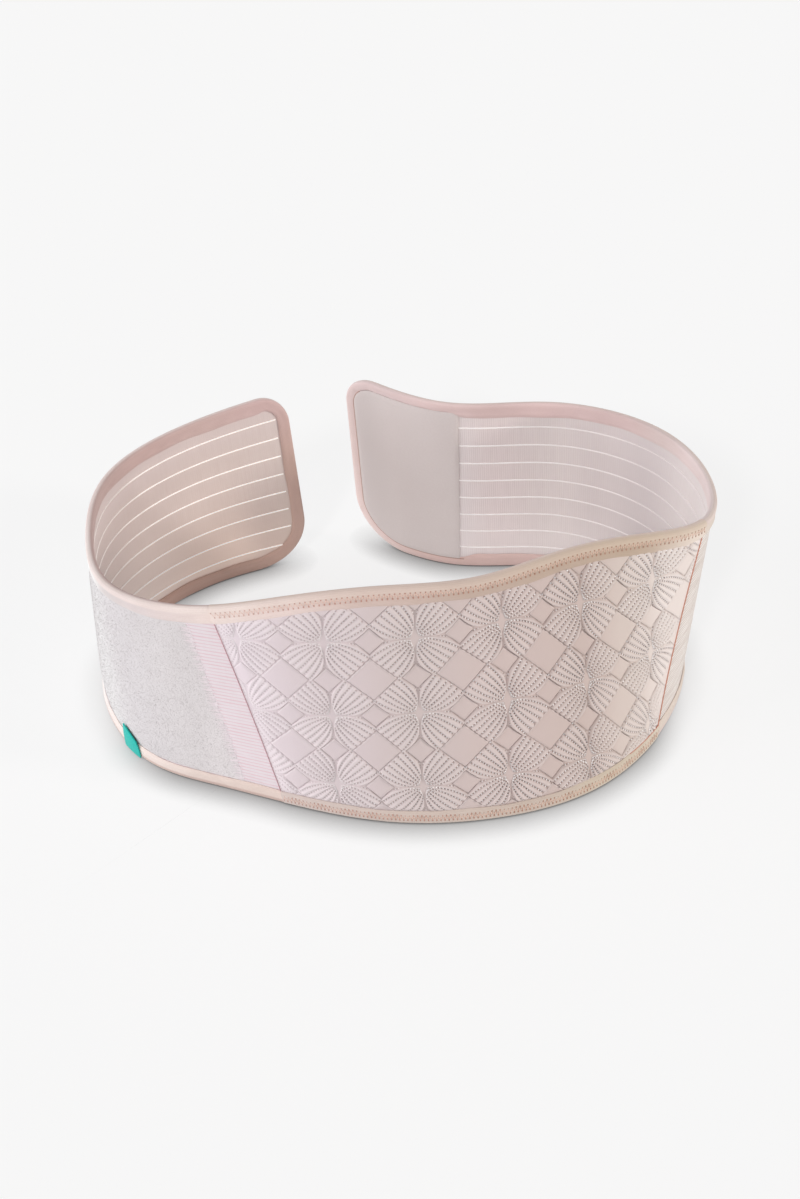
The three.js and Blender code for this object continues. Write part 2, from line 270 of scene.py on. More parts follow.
@dataclass(frozen=True)
class Stretch:
    """One stretch of the band. A place on it is a share of its length and a height up from the foot."""

    foot: Pair
    head: Pair
    end: FreeEnd = FreeEnd.NONE
    closest: float = 0.05

    @property
    def length(self) -> float:
        """Mean length of the stretch."""
        return (self.foot[1] - self.foot[0] + self.head[1] - self.head[0]) / 2

    @property
    def seam(self) -> float:
        """Share of the length that a cloth leaves open beside a seam."""
        return LAYERS.gap / 2 / self.length

    @property
    def inwards(self) -> float:
        """Which way along the band is in from the free end."""
        return -1.0 if self.end is FreeEnd.FINISH else 1.0

    def along(self, part: Array, share: Array) -> Array:
        """Turns a share of the length, at a share of the height, into a place along the band."""
        return blend(blend(*self.foot, part), blend(*self.head, part), share)

    def spot(self, part: Array, up: Array) -> tuple[Array, Array]:
        """Turns a place on the stretch into a place along the band and a share of the wall's height."""
        share = up / WALL.tall(self.along(part, up / WALL.tall(self.along(part, 0.5))))
        return self.along(part, share), share

    def height(self, part: Array) -> Array:
        """Height of the wall at the head of the stretch."""
        return WALL.tall(self.along(part, 1.0))

    def place(self, part: Array, up: Array, out: Array) -> Array:
        """Finds the points, in millimetres, at places of the stretch and distances out from the wall."""
        part, up, out = np.broadcast_arrays(*(np.asarray(v, float) for v in (part, up, out)))
        return WALL.point(*self.spot(part, up), out)

    def part_at(self, along: Array, share: float) -> Array:
        """Share of the length that lies at a place along the band, at a share of its height."""
        first = self.along(0.0, share)
        return (along - first) / (self.along(1.0, share) - first)

    def from_end(self, distance: Array) -> Array:
        """Share of the length that lies a distance in from the free end."""
        part = np.asarray(distance, float) / self.length
        return 1 - part if self.end is FreeEnd.FINISH else part

    def distance(self, part: Array) -> Array:
        """Distance of a place from the free end."""
        return (1 - part) * self.length if self.end is FreeEnd.FINISH else part * self.length

    def rounding(self, part: Array, bend: float, radius: float) -> Array:
        """Height that a corner takes from a piece, by the piece's own bend and the outline's radius there."""
        gone = np.clip(radius - self.distance(part), 0, bend)
        return bend - np.sqrt(np.maximum(bend * bend - gone * gone, 0))

    def edges(self, part: Array, low: float, high: float) -> tuple[Array, Array]:
        """Heights of a wing piece's two edges, which stay these distances inside the rounded outline."""
        foot = low + self.rounding(part, CORNER.foot - low, CORNER.foot)
        return foot, self.height(part) - high - self.rounding(part, CORNER.head - high, CORNER.head)

    def grid(self, part: Array, low: Array, high: Array, rows: int) -> tuple[Array, Array]:
        """Spreads rows of places, as shares and heights, between a lower and an upper edge."""
        up = blend(low, high, np.linspace(0, 1, rows)[:, None])
        return np.broadcast_to(part, up.shape), up

    def lines(self, inset: float, step: float, start: float, finish: float) -> Array:
        """Spaces lines across a wing, closer together round the free end's corners.

        Args:
            inset: how far inside the outline the piece stays.
            step: distance between even lines.
            start: share of the length where the piece starts.
            finish: share of the length where it finishes.

        Returns:
            The shares of the length, in order.
        """
        turn = np.arange(CORNER.lines) / CORNER.lines * math.pi / 2
        corner = inset + (CORNER.foot - inset) * (1 - np.cos(turn))
        even = np.arange(CORNER.foot, self.length, step)
        parts = np.sort(self.from_end(np.concatenate((corner, even))))
        free = float(self.from_end(inset))
        first, last = (free, finish) if self.end is FreeEnd.START else (start, free)
        apart = self.closest / self.length
        between = parts[(parts > first + apart) & (parts < last - apart)]
        return np.concatenate(((first,), between, (last,)))


LEFT_WING = Stretch(foot=(-424, -85), head=(-424, -115), end=FreeEnd.START)
PANEL = Stretch(foot=(-85, 161.5), head=(-115, 190.5))
RIGHT_WING = Stretch(foot=(161.5, 500), head=(190.5, 500), end=FreeEnd.FINISH)


def working(operation: str) -> Callable[..., "Signal"]:
    """Makes a method of signals from an operation of the Math node.

    Args:
        operation: what the node does.

    Returns:
        The method.
    """

    def method(signal: "Signal", *others: Value) -> "Signal":
        """Works on the signal, with other values where the operation takes them."""
        return signal.bench.math(operation, signal, *others)

    return method


class Signal:
    """An output of a node, which Python's arithmetic works on."""

    __add__ = __radd__ = working("ADD")
    __sub__ = working("SUBTRACT")
    __mul__ = __rmul__ = working("MULTIPLY")
    __truediv__ = working("DIVIDE")
    __pow__ = working("POWER")
    __abs__ = working("ABSOLUTE")
    exp = working("EXPONENT")
    rounded = working("ROUND")
    least = working("MINIMUM")
    most = working("MAXIMUM")
    fold = working("PINGPONG")

    def __init__(self, bench: "Bench", socket: bpy.types.NodeSocket) -> None:
        """Wraps an output of a bench's tree."""
        self.bench = bench
        self.socket = socket

    def __rsub__(self, other: float) -> "Signal":
        """Takes it away from a number."""
        return self.bench.math("SUBTRACT", other, self)

    def __neg__(self) -> "Signal":
        """Turns its sign."""
        return self * -1.0

    def step(self, start: float, finish: float) -> "Signal":
        """Turns it into 0 at the start and 1 at the finish, smoothly."""
        inputs = {"Value": self, "From Min": start, "From Max": finish}
        return self.bench.signal("MapRange", inputs, interpolation_type="SMOOTHSTEP")


class Bench:
    """Node tree of one finish, with short calls for the nodes that cloth needs."""

    def __init__(self, name: str) -> None:
        """Starts an empty material.

        Args:
            name: the finish's name.
        """
        self.material = bpy.data.materials.new(name)
        self.material.use_nodes = True
        self.tree = self.material.node_tree
        self.tree.nodes.clear()

    def node(self, kind: str, inputs: Optional[dict] = None, **settings: object) -> bpy.types.Node:
        """Adds a node.

        Args:
            kind: the node's type name, without its ShaderNode prefix.
            inputs: a number, colour or signal for each input, by name or number.
            settings: its own properties.

        Returns:
            The node.
        """
        made = self.tree.nodes.new("ShaderNode" + kind)
        for key, value in settings.items():
            setattr(made, key, value)
        for key, value in (inputs or {}).items():
            if isinstance(value, Signal):
                self.tree.links.new(value.socket, made.inputs[key])
            else:
                made.inputs[key].default_value = (*value, 1.0) if isinstance(value, tuple) else value
        return made

    def signal(self, kind: str, inputs: Optional[dict] = None, output: Union[str, int] = 0,
               **settings: object) -> Signal:
        """Adds a node and reads one of its outputs."""
        return Signal(self, self.node(kind, inputs, **settings).outputs[output])

    def math(self, operation: str, *values: Value) -> Signal:
        """Adds a Math node."""
        return self.signal("Math", dict(enumerate(values)), operation=operation)

    def cut(self) -> tuple[Signal, Signal]:
        """Reads a place on the flat cut, along and up."""
        axes = self.node("SeparateXYZ", {0: self.signal("UVMap", uv_map="cut")}).outputs
        return Signal(self, axes[0]), Signal(self, axes[1])

    def space(self) -> Signal:
        """Reads a place in the piece's own space."""
        return self.signal("TexCoord", output="Object")

    def across(self) -> Signal:
        """Reads how far to the right a place is."""
        return self.signal("SeparateXYZ", {0: self.space()})

    def noise(self, vector: Signal, scale: float = 1.0, detail: float = 2.0, rough: float = 0.5) -> Signal:
        """Adds a noise around 0.5, with a number of finer layers and their strength."""
        inputs = {"Vector": vector, "Scale": scale, "Detail": detail, "Roughness": rough}
        return self.signal("TexNoise", inputs)

    def grain(self, cut: Sequence[Signal], scales: Sequence[float], detail: float = 2.0,
              rough: float = 0.5) -> Signal:
        """Adds a noise on the flat cut, with its own scale along and up."""
        vector = self.signal("CombineXYZ", {i: cut[i] * scales[i] for i in range(2)})
        return self.noise(vector, detail=detail, rough=rough)

    def mix(self, share: Value, a: Shade, b: Shade) -> Signal:
        """Mixes two colours by the share of the second."""
        return self.signal("Mix", {0: share, 6: a, 7: b}, 2, data_type="RGBA")

    def ramp(self, value: Signal, stops: Ramp) -> Shade:
        """Reads a colour that changes along a value.

        Args:
            value: where it is read.
            stops: places and their colours, in order.

        Returns:
            The colour.
        """
        first = stops[0][0]
        span = stops[-1][0] - first
        if not span:
            return stops[0][1]
        made = self.node("ValToRGB", {0: (value - first) / span})
        made.color_ramp.interpolation = "EASE"
        elements = made.color_ramp.elements
        elements.remove(elements[1])
        for number, (place, colour) in enumerate(stops):
            at = (place - first) / span
            element = elements.new(at) if number else elements[0]
            element.position = at
            element.color = (*colour, 1.0)
        return Signal(self, made.outputs[0])

    def bump(self, height: Signal, depth: float, strength: float = 1.0,
             normal: Optional[Signal] = None) -> Signal:
        """Bends a normal by a height from 0 to 1, where 1 stands up by the depth in millimetres."""
        inputs = {"Height": height, "Distance": depth * MM, "Strength": strength}
        return self.signal("Bump", inputs if normal is None else {**inputs, "Normal": normal})

    def cloth(self, colour: Shade, normal: Signal, rough: float, sheen: float, glow: Value = 0.0) -> Material:
        """Closes the tree with a soft cloth shader.

        Args:
            colour: the cloth's colour.
            normal: the cloth's bumps.
            rough: its roughness.
            sheen: how much its fuzz catches light.
            glow: light of its own.

        Returns:
            The finished material.
        """
        inputs = {
            "Base Color": colour,
            "Normal": normal,
            "Roughness": rough,
            "Specular IOR Level": 0.15,
            "Sheen Weight": sheen,
            "Sheen Roughness": 0.5,
            "Emission Color": (1.0, 1.0, 1.0),
            "Emission Strength": glow,
        }
        self.node("OutputMaterial", {"Surface": self.signal("BsdfPrincipled", inputs)})
        return self.material


class Finish(Protocol):
    """Look of a piece."""

    def material(self) -> Material:
        """Makes the material."""


@dataclass(frozen=True)
class QuiltLattice:
    """Square lattice of four-petalled flowers with smooth diamonds between them."""

    repeat: float = 50.0
    big: float = 14.3
    small: float = 8.4
    ribs: int = 7
    fan_wide: float = 15.0
    fan_start: float = 0.9
    fan_reach: float = 9.0
    stitch_pitch: float = 1.9
    slit: float = 0.25
    star_wide: Pair = (1.7, 1.1)
    star_long: Pair = (5.0, 2.8)
    sway: float = 0.5

    def swayed(self, x: Array, y: Array) -> tuple[Array, Array]:
        """Sways the sewing a little, as it is on soft cloth.

        Args:
            x: places along the band.
            y: heights over the lowest row of flowers.

        Returns:
            Both, swayed.
        """
        sway_x = np.sin(y / 13.0 + 0.7) + np.sin((x + y) / 29.0)
        sway_y = np.sin(x / 17.0) + np.sin((x - 1.6 * y) / 23.0 + 2.0)
        return x + self.sway * sway_x, y + self.sway * sway_y

    def fan(self, ahead: Array) -> Array:
        """Half the width of a petal's fan of ribs, by the distance from the flower's middle."""
        return self.fan_wide * (1 - np.exp(-np.maximum(ahead - self.fan_start, 0.05) / self.fan_reach))

    def sides(self, fold_x: Number, fold_y: Number, exp: Callable) -> tuple[Number, Number]:
        """Distances in from the slits between petals, which widen to a star in the flower's middle.

        Args:
            fold_x: distances along from the flower's middle.
            fold_y: distances up or down from it.
            exp: the exponential function of what is given, arrays or signals.

        Returns:
            The distances from the upright and the level slit, negative in the slits and the star.
        """
        upright = exp(-((fold_y / self.star_long[0]) ** 2)) * self.star_wide[0] + self.slit
        level = exp(-((fold_x / self.star_long[1]) ** 2)) * self.star_wide[1] + self.slit
        return fold_x - upright, fold_y - level


LATTICE = QuiltLattice()


class QuiltMarks(NamedTuple):
    """What the sewing leaves at a place of the quilt, each from 0 to 1; the finish darkens holes and lines
    with painted shade and lightens ridges and rims with painted highlight.
    """

    hole: Signal
    stitch: Signal
    cord: Signal
    ridge: Signal
    line: Signal
    rim: Signal


@dataclass(frozen=True)
class QuiltedKnit:
    """Soft brushed knit with the quilting's lines and rows of stitches."""

    name: str = "quilted_knit"
    # Paler at both ends than in the middle: partly the knit's own tone, partly painted light from the sides,
    # with a painted sheen at the right end.
    colour: Ramp = tints(
        (-2.2, 230, 218, 224), (-1.0, 214, 201, 203), (0.0, 205, 191, 189), (1.0, 205, 188, 184),
        (2.0, 202, 185, 179), (2.6, 212, 198, 191), (3.3, 230, 219, 214))
    # The hole colour, hole_share and line_share paint shade into the stitch holes and quilting lines;
    # ridge_share and rim_share paint highlights in thread colour on the rib crests and beside the lines;
    # stitch_share is pale thread, partly painted highlight. Across fades the shade and highlight grow towards
    # the right.
    hole: Colour = paint(150, 118, 110)
    thread: Colour = paint(250, 246, 246)
    fades: Pair = (-2.4, 1.6)
    hole_share: Pair = (0.12, 0.57)
    stitch_share: Pair = (0.35, 0.95)
    depth_share: Pair = (0.3, 1.05)
    ridge_share: float = 0.16
    line_share: float = 0.12
    cord_share: float = 0.34
    rim_share: float = 0.22
    depth: float = 0.35

    def marks(self, x: Signal, y: Signal) -> QuiltMarks:
        """Reads what the sewing leaves.

        Args:
            x: place along, in repeats of the lattice.
            y: place up, in repeats.

        Returns:
            The marks.
        """
        fold_x = x.fold(0.5) * LATTICE.repeat
        fold_y = y.fold(0.5) * LATTICE.repeat
        total = fold_x + fold_y
        apart = abs(fold_x - fold_y)
        beside = apart * math.sqrt(0.5)
        gone = (LATTICE.fan_start - total * math.sqrt(0.5)) / LATTICE.fan_reach
        fan = (1.0 - gone.least(-0.01).exp()) * LATTICE.fan_wide
        rib = beside / fan * (LATTICE.ribs / 2) + 0.5
        away = rib.fold(0.5) * fan * (2 / LATTICE.ribs)
        half_pitch = LATTICE.stitch_pitch / 2
        reach = (fold_x**2 + fold_y**2) ** 0.5
        phase = (reach + rib.rounded() * half_pitch).fold(half_pitch)
        spot = (away**2 + phase**2) ** 0.5
        upright, level = LATTICE.sides(fold_x, fold_y, Signal.exp)
        side = upright.least(level)
        big = total - (LATTICE.repeat - LATTICE.big)
        small = apart - (LATTICE.repeat / 2 - LATTICE.small)
        petal = big.step(-0.3, -1.0) * small.step(-0.3, -1.0)
        petal = petal * (fan - beside).step(-0.2, 0.3) * side.step(0.1, 0.5)
        return QuiltMarks(
            hole=petal * spot.step(0.55, 0.25),
            stitch=petal * away.step(0.6, 0.25) * phase.step(0.45, 0.65),
            cord=abs(side - 0.45).step(0.5, 0.15) * reach.step(14.0, 6.0),
            ridge=petal * away.step(0.4, 1.0),
            line=abs(big).least(abs(small)).step(0.5, 0.1),
            rim=abs(big - 0.8).least(abs(small - 0.8)).step(0.55, 0.15),
        )

    def material(self) -> Material:
        """Makes the material, whose marks are fainter towards the left, while their painted shade and painted
        highlight grow towards the right, where they paint stronger side light.

        Returns:
            The material.
        """
        bench = Bench(self.name)
        cut = bench.cut()
        marks = self.marks(*cut)
        east = cut[0].step(*self.fades)
        knit = bench.grain(cut, (90.0, 120.0), detail=3.0, rough=0.6)
        cloud = bench.noise(bench.space(), 28.0)
        # The colour along the band carries painted light at both ends, and the rib crests get a painted
        # highlight in thread colour.
        colour = bench.mix(marks.ridge * self.ridge_share, bench.ramp(cut[0], self.colour), self.thread)
        # Painted shade in the stitch holes and the quilting lines, deeper towards the right.
        dark = (marks.hole * blend(*self.hole_share, east)).most(marks.line * self.line_share)
        colour = bench.mix(knit * 0.06 + cloud * 0.05 + dark, colour, self.hole)
        # Pale thread on the stitches and cords, the stitches' whiteness partly painted highlight; the rims
        # beside the lines are painted highlight.
        pale = (marks.stitch * blend(*self.stitch_share, east)).most(marks.cord * self.cord_share)
        colour = bench.mix(pale.most(marks.rim * self.rim_share), colour, self.thread)
        deep = blend(*self.depth_share, east)
        normal = bench.bump(knit, depth=0.12, strength=0.6)
        normal = bench.bump((marks.hole + marks.line * 0.8) * deep, depth=-self.depth, normal=normal)
        normal = bench.bump(marks.stitch.most(marks.cord) * deep, depth=self.depth, normal=normal)
        return bench.cloth(colour, normal, rough=0.8, sheen=0.06)


@dataclass(frozen=True)
class ElasticWebbing:
    """Woven elastic: fine ribs up the cloth and rows of weft along it, with painted light and shade towards
    its foot and its head.
    """

    name: str
    colour: Ramp
    deep: Colour
    weft: Colour
    weft_share: float = 0.0
    wale_share: float = 0.0
    streak_share: float = 0.3
    # low and high paint light and shade towards the foot and towards the head.
    low: Ramp = ((0.0, (0.9, 0.9, 0.9)),)
    low_share: float = 0.0
    low_top: float = 0.06
    high: Colour = (0.9, 0.9, 0.9)
    high_share: float = 0.0
    low_foot: float = 0.012
    high_from: Pair = (0.09, 0.121)
    wale: float = 1.4
    row: float = 2.5
    waver: float = 0.44

    def material(self) -> Material:
        """Makes the material.

        Returns:
            The material.
        """
        bench = Bench(self.name)
        cut = x, y = bench.cut()
        waver = bench.grain(cut, (60.0, 600.0), detail=1.0)
        wale = (x / (self.wale * MM)).fold(0.5).step(0.0, 0.5)
        row = ((y / (self.row * MM)).fold(0.5) + (waver - 0.5) * self.waver).step(0.30, 0.46)
        streak = bench.grain(cut, (700.0, 40.0))
        fleck = bench.grain(cut, (1500.0, 1500.0))
        dark = streak * self.streak_share + fleck * 0.2 - wale * (0.3 * self.wale_share)
        colour = bench.mix(dark, bench.ramp(x, self.colour), self.deep)
        # Painted light and shade towards the foot and towards the head.
        low = y.step(self.low_top, self.low_foot) * self.low_share
        colour = bench.mix(low, colour, bench.ramp(x, self.low))
        colour = bench.mix(y.step(*self.high_from) * self.high_share, colour, self.high)
        colour = bench.mix(row * self.weft_share, colour, self.weft)
        normal = bench.bump(wale, depth=0.18, strength=0.7 * self.wale_share)
        normal = bench.bump(fleck, depth=0.1, strength=0.6, normal=normal)
        normal = bench.bump(row, depth=-0.15, strength=self.weft_share, normal=normal)
        return bench.cloth(colour, normal, rough=0.9, sheen=0.2)


@dataclass(frozen=True)
class PlainCloth:
    """Fine plain cloth with a soft grain of its own scale."""

    name: str
    colour: Ramp
    deep: Colour
    grain: Pair
    depth: float = 0.12
    sheen: float = 0.2
    grain_share: float = 0.5
    cloud_share: float = 0.3
    # A glow here is painted light: the cloth glows a little though it is no lamp.
    painted_glow: float = 0.0

    def material(self) -> Material:
        """Makes the material.

        Returns:
            The material.
        """
        bench = Bench(self.name)
        cut = bench.cut()
        grain = bench.grain(cut, self.grain, detail=3.0, rough=0.6)
        cloud = bench.noise(bench.space(), 40.0)
        share = grain * self.grain_share + (cloud - 0.5) * self.cloud_share
        colour = bench.mix(share, bench.ramp(cut[0], self.colour), self.deep)
        normal = bench.bump(grain, self.depth, strength=0.8)
        return bench.cloth(colour, normal, rough=0.9, sheen=self.sheen, glow=self.painted_glow)


@dataclass(frozen=True)
class FoldedTape:
    """Fine ribbed tape whose legs change colour along its run, painting light and shade, and whose crown is
    paler; a darker inner leg is painted shade from inside the band.
    """

    name: str
    # The colours along the run paint light and shade; where the inner leg is darker than the outer, that is
    # painted shade from inside the band.
    outer: Ramp
    inner: Ramp
    crown: Ramp
    deep: Colour
    crown_share: float = 0.7
    tooth_share: float = 0.22
    rib_share: float = 0.06
    cloud_share: float = 0.2
    rib: float = 1.1
    crown_from: Pair = (0.0066, 0.0086)
    crown_to: Pair = (0.0130, 0.0112)
    inner_from: Pair = (0.0108, 0.0132)

    def material(self) -> Material:
        """Makes the material.

        Returns:
            The material.
        """
        bench = Bench(self.name)
        cut = x, y = bench.cut()
        # The inner leg takes its own colours: where darker, painted shade from inside the band.
        colour = bench.mix(y.step(*self.inner_from), bench.ramp(x, self.outer), bench.ramp(x, self.inner))
        crown = y.step(*self.crown_from) * y.step(*self.crown_to) * self.crown_share
        colour = bench.mix(crown, colour, bench.ramp(x, self.crown))
        rib = (y / (self.rib * MM)).fold(0.5).step(0.0, 0.5)
        tooth = bench.grain(cut, (900.0, 1400.0), detail=3.0, rough=0.6)
        cloud = bench.grain(cut, (60.0, 160.0))
        dark = tooth * self.tooth_share - rib * self.rib_share + (cloud - 0.5) * self.cloud_share
        colour = bench.mix(dark, colour, self.deep)
        normal = bench.bump(rib, depth=0.1, strength=0.6)
        normal = bench.bump(tooth, depth=0.12, strength=0.6, normal=normal)
        normal = bench.bump(cloud, depth=0.5, strength=0.5, normal=normal)
        return bench.cloth(colour, normal, rough=0.85, sheen=0.25)


@dataclass(frozen=True)
class Thread:
    """Twisted sewing thread, whose colour may change across the band; the needle marks' painted shade also
    takes this finish.
    """

    name: str
    colour: Ramp
    deep: Colour

    def material(self) -> Material:
        """Makes the material.

        Returns:
            The material.
        """
        bench = Bench(self.name)
        twist = bench.noise(bench.space(), 2200.0, detail=1.0)
        colour = bench.mix(twist * 0.6, bench.ramp(bench.across(), self.colour), self.deep)
        return bench.cloth(colour, bench.bump(twist, depth=0.08, strength=0.6), rough=0.7, sheen=0.1)


@dataclass(frozen=True)
class StudioFloor:
    """Pale paper on a light table, dim only where the band keeps light from it."""

    name: str = "pale_floor"
    colour: Colour = (0.2, 0.2, 0.2)
    speck: float = 0.985
    glow: float = 0.755
    # contact, depth and the filled spans set a painted contact shadow in the floor's glow.
    contact: float = 0.02
    depth: float = 1.7
    filled: tuple[Pair, ...] = ((-0.13, -0.19), (0.15, 0.185))
    filled_share: float = 0.75

    def material(self) -> Material:
        """Makes the material.

        Returns:
            The material.
        """
        bench = Bench(self.name)
        tooth = bench.noise(bench.space(), 900.0)
        colour = bench.mix(tooth, self.colour, tuple(v * self.speck for v in self.colour))
        # Painted contact shadow: the glow dims by ambient occlusion near the band, and the dimming is mostly
        # taken back at the far left and the far right.
        seen = bench.signal("AmbientOcclusion", {"Distance": self.contact}, "AO", samples=16) ** self.depth
        left, right = (bench.across().step(*ends) for ends in self.filled)
        seen = (1.0 - seen) * ((left + right) * self.filled_share) + seen
        normal = bench.bump(tooth, depth=0.02, strength=0.2)
        return bench.cloth(colour, normal, rough=0.95, sheen=0.0, glow=seen * self.glow)


class Cutter:
    """Makes meshes, of cloth that is cut flat or of points and faces, and dresses them."""

    SHEET_ANGLE = math.radians(50)
    MESH_ANGLE = math.radians(60)

    @staticmethod
    def name_cut(piece: Piece, cut: Array) -> None:
        """Writes each vertex's place on the flat cut as the piece's UV map.

        Args:
            piece: the mesh object.
            cut: a place for each vertex.
        """
        mesh = piece.data
        while mesh.uv_layers:
            mesh.uv_layers.remove(mesh.uv_layers[0])
        layer = mesh.uv_layers.new(name="cut")
        corners = np.zeros(len(mesh.loops), np.int32)
        mesh.loops.foreach_get("vertex_index", corners)
        layer.data.foreach_set("uv", cut.reshape(-1, 2)[corners].astype(np.float32).reshape(-1))

    @staticmethod
    def dress(piece: Piece, *finishes: Finish) -> None:
        """Puts finishes on a piece.

        Args:
            piece: the mesh object.
            finishes: the outer face's, and the inner face's where it differs.
        """
        piece.data.materials.clear()
        for finish in finishes:
            piece.data.materials.append(finish.material())

    @classmethod
    def sheet(cls, name: str, points: Array, cut: Array, thick: float, *finishes: Finish) -> Piece:
        """Makes a sheet from rows of points on its middle.

        Args:
            name: the piece's name.
            points: rows of points, in millimetres.
            cut: each point's place on the flat cut.
            thick: the cloth's thickness.
            finishes: the outer face's, and the inner face's where it differs.

        Returns:
            The piece.
        """
        rows, lines = points.shape[:2]
        bpy.ops.object.select_all(action="DESELECT")
        bpy.ops.mesh.primitive_grid_add(x_subdivisions=lines - 1, y_subdivisions=rows - 1, size=1.0)
        piece = bpy.context.object
        piece.name = name
        piece.data.name = name
        piece.data.vertices.foreach_set("co", (points * MM).astype(np.float32).reshape(-1))
        piece.data.update()
        cls.name_cut(piece, cut)
        cls.dress(piece, *finishes)
        wall = piece.modifiers.new("wall", "SOLIDIFY")
        wall.thickness = thick * MM
        wall.offset = 0.0
        wall.material_offset = len(finishes) - 1
        bpy.ops.object.modifier_apply(modifier="wall")
        bpy.ops.object.shade_smooth_by_angle(angle=cls.SHEET_ANGLE)
        return piece

    @classmethod
    def mesh(cls, name: str, points: Array, faces: Faces, finish: Finish,
             cut: Optional[Array] = None) -> Piece:
        """Makes a piece from points and faces.

        Args:
            name: the piece's name.
            points: its points, in millimetres.
            faces: its faces, as numbers of points.
            finish: its finish.
            cut: each point's place on the flat cut, if the finish reads it.

        Returns:
            The piece.
        """
        mesh = bpy.data.meshes.new(name)
        mesh.from_pydata((points.reshape(-1, 3) * MM).tolist(), [], faces)
        mesh.update()
        piece = bpy.data.objects.new(name, mesh)
        bpy.context.scene.collection.objects.link(piece)
        bpy.ops.object.select_all(action="DESELECT")
        piece.select_set(True)
        bpy.context.view_layer.objects.active = piece
        bpy.ops.object.shade_smooth_by_angle(angle=cls.MESH_ANGLE)
        if cut is not None:
            cls.name_cut(piece, cut)
        cls.dress(piece, finish)
        return piece


def settle(piece: Piece, slot: str, *nodes: str) -> Piece:
    """Puts a finished piece on the band's body.

    Args:
        piece: the mesh object.
        slot: a material slot's name; not used.
        nodes: the plain solids that it stands for.

    Returns:
        The piece.
    """
    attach(piece, "root")
    if nodes:
        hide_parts(*nodes)
    LOG.info("%s: %d faces", piece.name, len(piece.data.polygons))
    return piece


def grid_faces(rows: int, lines: int, first: int = 0, closed: bool = False) -> Faces:
    """Lists the faces of a grid of points.

    Args:
        rows: how many rows of points it has.
        lines: how many points a row has.
        first: the number of its first point.
        closed: whether the last row joins the first.

    Returns:
        The faces, as numbers of points.
    """
    row = np.arange(rows if closed else rows - 1)[:, None]
    low = row * lines + np.arange(lines - 1)
    high = (row + 1) % rows * lines + np.arange(lines - 1)
    return (np.stack((low, low + 1, high + 1, high), axis=-1).reshape(-1, 4) + first).tolist()


class Needle:
    """Models one stitch and copies it along the seams."""

    SIDES = 6
    FLAT = (1.0, 0.8, 0.6)
    DRAWN = 0.2

    def __init__(self) -> None:
        """Models the stitch: a ball whose halves are drawn apart and flattened."""
        bpy.ops.object.select_all(action="DESELECT")
        bpy.ops.mesh.primitive_uv_sphere_add(segments=self.SIDES, ring_count=self.SIDES, radius=0.5)
        ball = bpy.context.object
        bpy.ops.object.mode_set(mode="EDIT")
        bpy.ops.mesh.select_all(action="SELECT")
        bpy.ops.transform.resize(value=self.FLAT)
        bpy.ops.object.mode_set(mode="OBJECT")
        for end in (1.0, -1.0):
            for vertex in ball.data.vertices:
                vertex.select = vertex.co.z * end > 0.01
            bpy.ops.object.mode_set(mode="EDIT")
            bpy.ops.mesh.select_mode(type="VERT")
            bpy.ops.transform.translate(value=(0.0, 0.0, self.DRAWN * end))
            bpy.ops.object.mode_set(mode="OBJECT")
        self.points = np.array([v.co for v in ball.data.vertices])
        self.faces = [list(f.vertices) for f in ball.data.polygons]
        bpy.data.objects.remove(ball)

    def sew(self, name: str, ends: Sequence[Array], outs: Array, wide: float, thread: Thread,
            slot: str) -> Piece:
        """Sews a row of stitches as one piece.

        Args:
            name: the piece's name.
            ends: where the stitches start and where they end, in millimetres.
            outs: which way is out of the cloth there.
            wide: the thread's width.
            thread: its finish.
            slot: the material slot of what it is sewn to.

        Returns:
            The piece.
        """
        starts, stops = ends
        run = stops - starts
        outs = outs / np.linalg.norm(outs, axis=1)[:, None]
        side = np.cross(outs, run)
        side /= np.linalg.norm(side, axis=1)[:, None]
        points = ((starts + stops) / 2)[:, None, :] + self.points[None, :, 2, None] * run[:, None, :]
        points = points + self.points[None, :, 0, None] * wide * side[:, None, :]
        points = points + self.points[None, :, 1, None] * wide * outs[:, None, :]
        count = len(self.points)
        faces = [[v + count * i for v in face] for i in range(len(starts)) for face in self.faces]
        return settle(Cutter.mesh(name, points, faces, thread), slot)


@dataclass(frozen=True)
class Stops:
    """Stops of a line on a stretch: where each lies, and which way is across the line there."""

    part: Array
    up: Array
    in_part: Array
    in_up: Array

    @property
    def values(self) -> tuple[Array, ...]:
        """All four values."""
        return self.part, self.up, self.in_part, self.in_up

    @classmethod
    def line(cls, *values: Array) -> "Stops":
        """Lists stops, of which any value may be the same for all."""
        return cls(*np.broadcast_arrays(*(np.asarray(value, float) for value in values)))

    @classmethod
    def chain(cls, *runs: "Stops") -> "Stops":
        """Joins runs of stops, in order."""
        return cls(*(np.concatenate(values) for values in zip(*(run.values for run in runs))))

    def picked(self, which: Union[slice, Array]) -> "Stops":
        """The stops that a slice or a mask picks."""
        return Stops(*(value[which] for value in self.values))

    def shifted(self, stretch: Stretch, inward: Array) -> tuple[Array, Array]:
        """Shares and heights of the stops, moved across the line."""
        return self.part + self.in_part * inward / stretch.length, self.up + self.in_up * inward


BACKWARDS = slice(None, None, -1)


